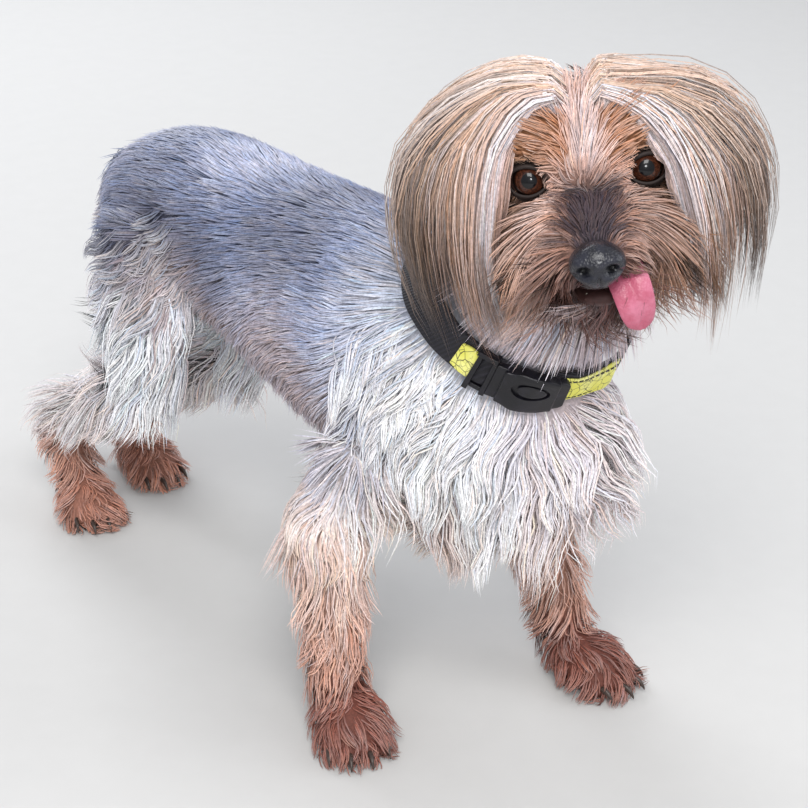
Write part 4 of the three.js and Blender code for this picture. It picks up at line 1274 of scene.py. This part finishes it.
# Guides of the long hair that falls from the parting, from the brow to the nape, in the head's frame
FALL = np.array([
    ((3, 6, 28), (11, 3, 30), (21, -1, 28), (31, -6, 15), (36, -9, -6), (39, -8, -28), (36, -6, -46)),
    ((2, 10, 29), (12, 6, 33), (23, 1, 31), (34, -5, 18), (40, -10, -8), (43, -11, -32), (39, -10, -56)),
    ((2, 13, 29), (13, 8, 34), (29, 3, 33), (45, -2, 18), (53, -5, -4), (55, -6, -30), (50, -7, -56)),
    ((2, 14, 29), (13, 12, 34), (31, 9, 34), (52, 5, 23), (64, 3, 2), (68, 2, -24), (62, 1, -50)),
    ((2, 30, 30), (13, 30, 35), (32, 29, 35), (54, 28, 25), (67, 27, 4), (71, 26, -22), (64, 25, -48)),
    ((2, 44, 27), (12, 47, 33), (29, 50, 32), (48, 52, 20), (60, 52, -2), (63, 51, -26), (58, 48, -50)),
    ((2, 56, 20), (8, 66, 25), (18, 73, 20), (26, 80, 4), (30, 84, -16), (31, 85, -36), (28, 82, -54)),
    ((1, 62, 16), (3, 71, 15), (6, 78, 8), (9, 82, -4), (11, 84, -18), (12, 84, -34), (12, 81, -50)),
], float)
HAIR_SPREAD = {1: 0.97, -1: 1.06}
LOBE_DROP = {1: 6.5, -1: 0.0}
TIP_DROP = {1: 6.0, -1: 9.0}


# Eyes, nose, mouth, claws and ears
PUPIL = (0.002, 0.002, 0.003)
NOSTRIL = (5.1, -0.8)  # to each side and up from the middle of the nose


def sheet(across, along, surface):
    """A flat grid bent to a surface given by two shares from -1 to 1."""
    deselect()
    bpy.ops.mesh.primitive_grid_add(x_subdivisions=across, y_subdivisions=along, size=2)
    obj = active()
    co = points_of(obj)
    set_points(obj, row(surface(co[:, 0], co[:, 1])))
    return outward(obj)


def make_eye(side, word):
    """An eyeball with its cornea, turned to where the dog looks."""
    look, right, up = look_axes(side)
    obj = sphere(48, 36)
    local = points_of(obj)
    cornea = 1 + 0.085 * ease(local[:, 2], 0.74, 0.96)
    local = local * (EYE_R - 0.35) * cornea[:, None]
    centre = in_head(eye_place(side))
    set_points(obj, row(centre + local @ np.array((right, up, look))))
    settle(outward(obj), f"eyeball_{word}")
    paint = Shader(f"eye {word}", Roughness=0.3, Specular_IOR_Level=0.1,
                   Coat_Weight=1.0, Coat_Roughness=0.02, Coat_IOR=1.36)
    gaze = unit(HEAD_AXES @ unit((side * 0.06, -0.95, 0.2)))
    away = paint.vector("SUBTRACT", (paint.place(), row(centre)))
    off = paint.vector("LENGTH", [paint.vector("CROSS_PRODUCT", (away, gaze))], 1) * (1 / MM)
    iris = paint.mix(paint.noise(away, 1500, 4).step(0.3, 0.75), shade(34, 16, 11), shade(84, 45, 29))
    colour = paint.mix(off.step(3.4, 2.3), iris, shade(98, 54, 34))
    colour = paint.mix(off.step(5.0, 5.7), colour, shade(20, 12, 10))
    colour = paint.mix(off.step(6.3, 7.0), colour, shade(92, 66, 60))
    colour = paint.mix(off.step(3.25, 2.85), colour, PUPIL)
    give(smooth(obj), paint.finish(colour), [f"eye_{word}"])


def make_nose():
    """The nose leather, with its nostrils and the groove between them."""
    obj = sphere(96, 64)
    wide, deep, tall = points_of(obj).T
    wide = wide * (10.4 - 1.8 * ease(tall, -0.1, -0.9)) * (1 - 0.12 * ease(tall, 0.3, 1))
    deep = np.sign(deep) * np.abs(deep) ** 0.8 * 8.4
    tall = tall * np.where(tall > 0, 8.2, 9.2)
    front = ease(deep, 0, -5)
    side = np.abs(wide)

    def dent(x, z, half_x, half_z):
        return np.exp(-((side - x) / half_x) ** 2 - ((tall - z) / half_z) ** 2) * front

    deep = deep + 4.6 * dent(*NOSTRIL, 2.3, 2.0) + 2.6 * dent(8.4, -2.8, 1.9, 1.2)
    deep = deep - 0.9 * dent(7.2, 2.4, 2.6, 1.6) - 0.7 * dent(3.6, -4.4, 1.8, 1.8)
    deep = deep + 1.3 * np.exp(-(wide / 0.75) ** 2) * ease(tall, 1.5, -3) * front
    # Painted shade: the leather is darkened inside the nostrils, where shade falls.
    dark = 1 - 0.85 * np.clip(dent(*NOSTRIL, 2.0, 1.8) * 1.4, 0, 1)
    set_points(obj, row(in_head(columns(wide, deep + NOSE_AT[1], tall + NOSE_AT[2]))))
    settle(obj, "nose_leather")
    set_tint(obj.data, np.repeat(dark, 3))
    paint = Shader("nose leather", Roughness=0.38, Specular_IOR_Level=0.4,
                   Coat_Weight=0.35, Coat_Roughness=0.16)
    place = paint.place()
    soft = paint.noise(place, 240, 3)
    paint.bump(paint.cells(place, 1050) * 0.8 + soft * 0.4, 0.0004, 0.8)
    base = paint.mix(soft.step(0.3, 0.7), shade(14, 15, 24), shade(30, 31, 44))
    # The painted nostril shade in the tint multiplies the leather's colour.
    give(smooth(obj), paint.finish(paint.mix(1.0, base, paint.tint(), "MULTIPLY")), ["nose"])


def make_mouth():
    """The lining of the open mouth, painted near black as the shade inside it, the lower teeth and the tongue
    that hangs out to the left.
    """
    lining = merge([ball((0, -19, -31), (11.5, 15, 4.2), 32, 20), ball((9, -16, -29), (11, 13, 4), 32, 20)],
                   "mouth_lining")
    # Partly painted shade: the lining's own dark red is painted near black for the shade inside the open
    # mouth.
    wet_shaded_lining = grained("mouth lining", 260, 3, shade(14, 7, 9), shade(48, 22, 25), 0.0005,
                  Roughness=0.25, Coat_Weight=0.5)
    give(smooth(lining), wet_shaded_lining)

    pegs = []
    for i in range(6):
        x = (i - 2.5) * 1.9
        pegs.append(ball((x, -29.5 + 0.05 * x * x, -36.8), (0.9, 0.8, 1.6), 12, 10))
    enamel = grained("teeth", 500, 2, shade(226, 214, 190), shade(240, 236, 226),
                     Roughness=0.18, Coat_Weight=0.6)
    give(smooth(merge(pegs, "teeth")), enamel)

    tongue = settle(TONGUE.body(0, 40, 36), "tongue_wet")
    paint = Shader("tongue", Roughness=0.45, Coat_Weight=0.25, Coat_Roughness=0.2)
    place = paint.place()
    flush = paint.noise(place, 130, 3)
    paint.bump(paint.cells(place, 1300) * 0.7 + flush, 0.00035, 0.7)
    colour = paint.mix(flush.step(0.35, 0.7), shade(178, 84, 108), shade(200, 116, 140))
    return give(smooth(tongue), paint.finish(colour), ["tongue"])


def make_claws():
    claws = []
    for side, _ in SIDES:
        for _, _, horns in (FORE_PAWS[side], HIND_PAWS[side]):
            claws += [horn.body(0, 12, 8) for horn in horns]
    horn = grained("claw horn", 900, 2, shade(30, 24, 22), shade(78, 62, 54), 0.0002, Roughness=0.35)
    give(smooth(merge(claws, "claws")), horn)


def make_ears():
    """The leather of the drop ears, under their long hair."""
    leather = grained("ear leather", 300, 3, DARK, UMBER, 0.0004, Roughness=0.7)
    made = []
    for side, word in SIDES:
        obj = settle(ear_flap(side).body(-1.2, 16, 12), f"ear_leather_{word}")
        made.append(give(smooth(obj), leather, [f"ear_{word}"]))
    return made


# The collar
RING_EDGE = 5.5  # how far from its middle line the strap's two edges are measured
RING_REACH = 110
PATCH_SEAM = 5.2
SLIDE_RAIL = 9.4
BUTTON_HIGH = 2.2
SHARP = math.radians(50)


class Ring:
    """The way round the neck, as the part's strap goes: places from an arc length, a height and a depth."""

    def __init__(self, strap):
        front = unit(np.array((0.0, -1, 0)) + COLLAR_AXIS * COLLAR_AXIS[1])
        side = np.cross(COLLAR_AXIS, front)
        tree = Obstacle([strap]).tree
        self.turns = np.linspace(0, 2 * np.pi, 145)
        self.ways = front * np.cos(self.turns)[:, None] + side * np.sin(self.turns)[:, None]
        reach = []
        for high in (-RING_EDGE, RING_EDGE):
            centre = COLLAR_AT + COLLAR_AXIS * high
            rays = [(Vector(centre + way * RING_REACH), Vector(-way)) for way in self.ways[:-1]]
            far = RING_REACH - np.array([tree.ray_cast(*ray)[3] for ray in rays], float)
            kernel = np.exp(-np.linspace(-2, 2, 15) ** 2)
            wrapped = np.concatenate([far[-7:], far, far[:7]])
            reach.append(np.convolve(wrapped, kernel / kernel.sum(), "valid"))
        self.low, self.high = (np.append(r, r[0]) for r in reach)
        middle = (self.low + self.high) / 2
        spots = self.ways * middle[:, None]
        steps = np.linalg.norm(np.diff(spots, axis=0), axis=1)
        self.arc = np.concatenate([[0], np.cumsum(steps)])

    def turn_of(self, direction):
        """The turn round the ring at which a direction in the dog's frame points."""
        return self.turns[np.argmax(self.ways @ unit(direction))]

    def place(self, turn, mm, high, out):
        """Places mm along from a turn, high along the axis and out from the strap's outer face."""
        start = np.interp(turn, self.turns, self.arc)
        at = np.interp((start + mm) % self.arc[-1], self.arc, self.turns)
        share = (high + RING_EDGE) / (2 * RING_EDGE)
        reach = blend(np.interp(at, self.turns, self.low), np.interp(at, self.turns, self.high), share) + out
        way = np.stack([np.interp(at, self.turns, self.ways[:, k]) for k in range(3)], axis=-1)
        return COLLAR_AT + COLLAR_AXIS * np.asarray(high)[..., None] + unit(way) * reach[..., None]

    def plate(self, turn, start, end, outline, low, high, bevel, cuts):
        """A bent plate from start to end mm along, between two depths, with rounded edges.

        The outline is its width, or gives half of it from the share of the way along.
        """
        def surface(u, v):
            along = blend(start, end, (u + 1) / 2)
            half = outline((u + 1) / 2) if callable(outline) else outline / 2
            return self.place(turn, along, v * half, np.full(len(u), high))

        obj = sheet(cuts, 8, surface)
        co = dog_points(obj)
        way = (co - COLLAR_AT) - np.outer((co - COLLAR_AT) @ COLLAR_AXIS, COLLAR_AXIS)
        mesh = obj.data
        if np.array(mesh.polygons[0].normal) @ way[mesh.polygons[0].vertices[0]] < 0:
            mesh.flip_normals()
        modify(obj, "SOLIDIFY", thickness=(high - low) * MM, offset=-1)
        if bevel:
            modify(obj, "BEVEL", width=bevel * MM, segments=3, limit_method="ANGLE", angle_limit=SHARP)
        return obj


def along_axis(obj, high):
    """Moves a piece of the collar along the collar's axis."""
    set_points(obj, points_of(obj) + COLLAR_AXIS * high * MM)
    return obj


def oval(half, least):
    """The outline of a plate with rounded ends."""
    return lambda u: half * np.sqrt(np.clip(1 - (2 * u - 1) ** 2, least, 1))


def plastic_paint():
    paint = Shader("black plastic", Roughness=0.38, Specular_IOR_Level=0.35,
                   Coat_Weight=0.1, Coat_Roughness=0.2)
    place = paint.place()
    paint.bump(paint.noise(place, 2400, 2), 0.00006)
    wear = paint.noise(place, 160, 3)
    return paint.finish(paint.mix(wear.step(0.45, 0.75), shade(13, 12, 18), shade(28, 26, 36)))


def webbing_paint():
    """Black woven webbing with diagonal ribs."""
    paint = Shader("black webbing", Roughness=0.68)
    place = paint.place()
    sockets = {"Vector": place, "Scale": 260.0, "Distortion": 1.2}
    ribs = paint.node("ShaderNodeTexWave", {"bands_direction": "DIAGONAL"}, sockets)
    thread = paint.noise(place, 1900, 3)
    paint.bump(ribs * 0.7 + thread * 0.5, 0.00035)
    return paint.finish(paint.mix(ribs * 0.5 + thread * 0.4, shade(12, 11, 16), shade(38, 36, 46)))


def yellow_paint():
    """Yellow ribbon printed with thin dark crossing lines."""
    paint = Shader("yellow ribbon", Roughness=0.5, Coat_Weight=0.15)
    place = paint.place()
    bend = paint.noise(place, 90, 2)
    wander = paint.vector("SCALE", {0: paint.noise(place, 110, 2, 0.5, "Color"), "Scale": 0.004})
    moved = paint.vector("ADD", (place, wander))
    crack, fine = (paint.cells(moved, scale, "DISTANCE_TO_EDGE") for scale in (230, 520))
    line = crack.step(0.035, 0.012).largest(fine.step(0.03, 0.01) * bend.step(0.5, 0.56) * 0.8)
    paint.bump(paint.noise(place, 2100, 2) * 0.6 - line * 0.6, 0.0003)
    yellow = paint.mix(bend.step(0.35, 0.7), shade(226, 222, 92), shade(240, 238, 150))
    return paint.finish(paint.mix(line * 0.85, yellow, shade(46, 46, 30)))


def make_collar():
    """The strap with its stitched ribbon patch, its slide with a loop and its buckle with a button."""
    ring = Ring(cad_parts["collar_strap"])
    plastic, webbing, yellow = plastic_paint(), webbing_paint(), yellow_paint()
    buckle_turn, patch_turn, slide_turn = (
        ring.turn_of(way) for way in ((-32, -27, -15), (-4, -40, -20), (-42, -6, -9))
    )

    def piece(name, made, angle, material, slot, *nodes):
        return give(smooth(merge(made, name), angle), material, nodes)

    def patch_outline(u):
        return 7.8 - 1.3 * np.sin(np.pi * u) ** 2 + 0.25 * np.sin(u * 23)

    def case_outline(u):
        return 8.6 + 2.0 * ease(u, 0.05, 0.35) - 1.6 * ease(u, 0.7, 1.0)

    strap = ring.plate(buckle_turn, 0.5, ring.arc[-1] - 0.5, WEB_WIDTH, -WEB_THICK, 0, 0.7, 150)
    piece("strap_webbing", [strap], 35, webbing, "webbing", "collar_strap")

    patch = ring.plate(patch_turn, -27, 13, patch_outline, 0.1, 1.0, 0.35, 40)
    piece("ribbon_yellow", [patch], 35, yellow, "yellow_webbing", "collar_patch")
    sewn = [
        along_axis(ring.plate(patch_turn, at, at + 1.7, 0.55, 0.75, 1.22, 0.12, 3), high)
        for high in (PATCH_SEAM, -PATCH_SEAM) for at in np.arange(-21, 11, 2.6)
    ]
    piece("ribbon_stitches", sewn, 40, webbing, "webbing")

    bars = [ring.plate(slide_turn, start, start + 2, 20.5, -0.6, 3.0, 0.7, 6) for start in (-4.2, 2.4)]
    for high in (SLIDE_RAIL, -SLIDE_RAIL):
        bars.append(along_axis(ring.plate(slide_turn, -4.2, 4.4, 2.0, -0.4, 2.6, 0.6, 8), high))
    piece("slide_frame", bars, 40, plastic, "black_plastic", "collar_slide")
    loop = ring.plate(slide_turn, -13, -4.4, lambda u: 6.3 - 0.9 * ease(u, 0.5, 0), 0.2, 1.9, 0.5, 12)
    piece("ribbon_loop", [loop], 40, yellow, "yellow_webbing")

    case = [
        ring.plate(buckle_turn, -12, 9, case_outline, 0.3, 5.4, 1.5, 30),
        ring.plate(buckle_turn, -16, -11, 17, 0.2, 3.6, 1.0, 12),
        ring.plate(buckle_turn, 8, 13, lambda u: 8.6 - 2.2 * u * u, 0.2, 4.2, 1.3, 12),
    ]
    well = along_axis(ring.plate(buckle_turn, -7.5, 6.5, oval(4.6, 0.02), 4.2, 9, 0, 24), BUTTON_HIGH)
    modify(case[0], "BOOLEAN", operation="DIFFERENCE", object=well, solver="EXACT")
    bpy.data.objects.remove(well)
    button = along_axis(ring.plate(buckle_turn, -5.8, 4.8, oval(3.3, 0.03), 3.6, 5.2, 0.8, 20), BUTTON_HIGH)
    buckle = piece("buckle_case", [*case, button], 40, plastic, "black_plastic", "collar_buckle")
    return [strap, patch, buckle]


ears = make_ears()
for side, word in SIDES:
    make_eye(side, word)
make_nose()
tongue = make_mouth()
make_claws()
collar = make_collar()
ground = Ground(skin)
obstacle = Obstacle([skin, tongue, *ears, *collar])
coat = Coat(ground, obstacle)
coat.body()
coat.legs()
coat.face()
coat.fall()

# Camera, stage and lights
CAMERA_FROM = np.array((-523.4, -699.5, 532.2))
CAMERA_TO = np.array((15.1, -34.1, 120.2))
CAMERA_ROLL = math.radians(0.5)
LENS = 92.46
SENSOR_WIDTH = 36
FLOOR_SIDE = 8
LAMPS_AIM = Vector((0, -0.02, 0.14))
# The skin carries the coat's colours darkened, as painted shade under the coat.
SKIN_SHADE = 0.6  # the skin is darker than the coat over it


def make_camera():
    data = bpy.data.cameras.new("camera")
    data.lens = LENS
    data.sensor_width = SENSOR_WIDTH
    camera = bpy.data.objects.new("camera", data)
    bpy.context.scene.collection.objects.link(camera)
    start = Vector(row(CAMERA_FROM))
    ahead = Vector(row(CAMERA_TO)) - start
    turn = ahead.to_track_quat("-Z", "Y").to_matrix().to_4x4() @ Matrix.Rotation(CAMERA_ROLL, 4, "Z")
    camera.matrix_world = Matrix.Translation(start) @ turn
    bpy.context.scene.camera = camera


def lamp(name, place, size, power, colour=(1, 1, 1)):
    data = bpy.data.lights.new(name, "AREA")
    data.size = size
    data.energy = power
    data.color = colour
    obj = bpy.data.objects.new(name, data)
    bpy.context.scene.collection.objects.link(obj)
    obj.location = place
    obj.rotation_euler = (LAMPS_AIM - Vector(place)).to_track_quat("-Z", "Y").to_euler()


def make_stage():
    deselect()
    bpy.ops.mesh.primitive_plane_add(size=FLOOR_SIDE, location=(0, 0, 0))
    floor = settle(active(), "floor")
    pale = grained("pale floor", 60, 4, (0.56, 0.555, 0.545), (0.59, 0.585, 0.575), Roughness=0.8)
    floor.data.materials.append(pale)
    world = bpy.data.worlds.new("studio")
    world.use_nodes = True
    back = world.node_tree.nodes["Background"]
    back.inputs["Color"].default_value = (0.93, 0.95, 1.0, 1)
    back.inputs["Strength"].default_value = 0.62
    bpy.context.scene.world = world
    lamp("key", (-0.9, -1.1, 1.7), 1.0, 31, (1, 0.99, 0.97))
    lamp("fill", (1.3, -0.9, 0.9), 1.2, 8, (0.93, 0.96, 1))
    lamp("catch", (-0.87, -1.3, 0.67), 0.24, 5)
    lamp("back", (0.3, 1.4, 1.2), 0.9, 16, (0.95, 0.97, 1))
    bpy.context.scene.view_settings.view_transform = "Standard"


make_camera()
make_stage()

LIMB_PARTS = ("foreleg", "forepaw", "thigh", "shank", "hock", "hindpaw")
# Painted shade: the skin takes the coat's colours, darkened as the shade under the coat.
set_tint(skin.data, ground_tint(ground.co, ground.part) * SKIN_SHADE)
give(skin, hair_paint("skin", 0.7), [
    "torso_chest", "torso_loin", "neck", "tail", "head", "jaw",
    *(f"{part}_{word}" for part in LIMB_PARTS for _, word in SIDES),
])
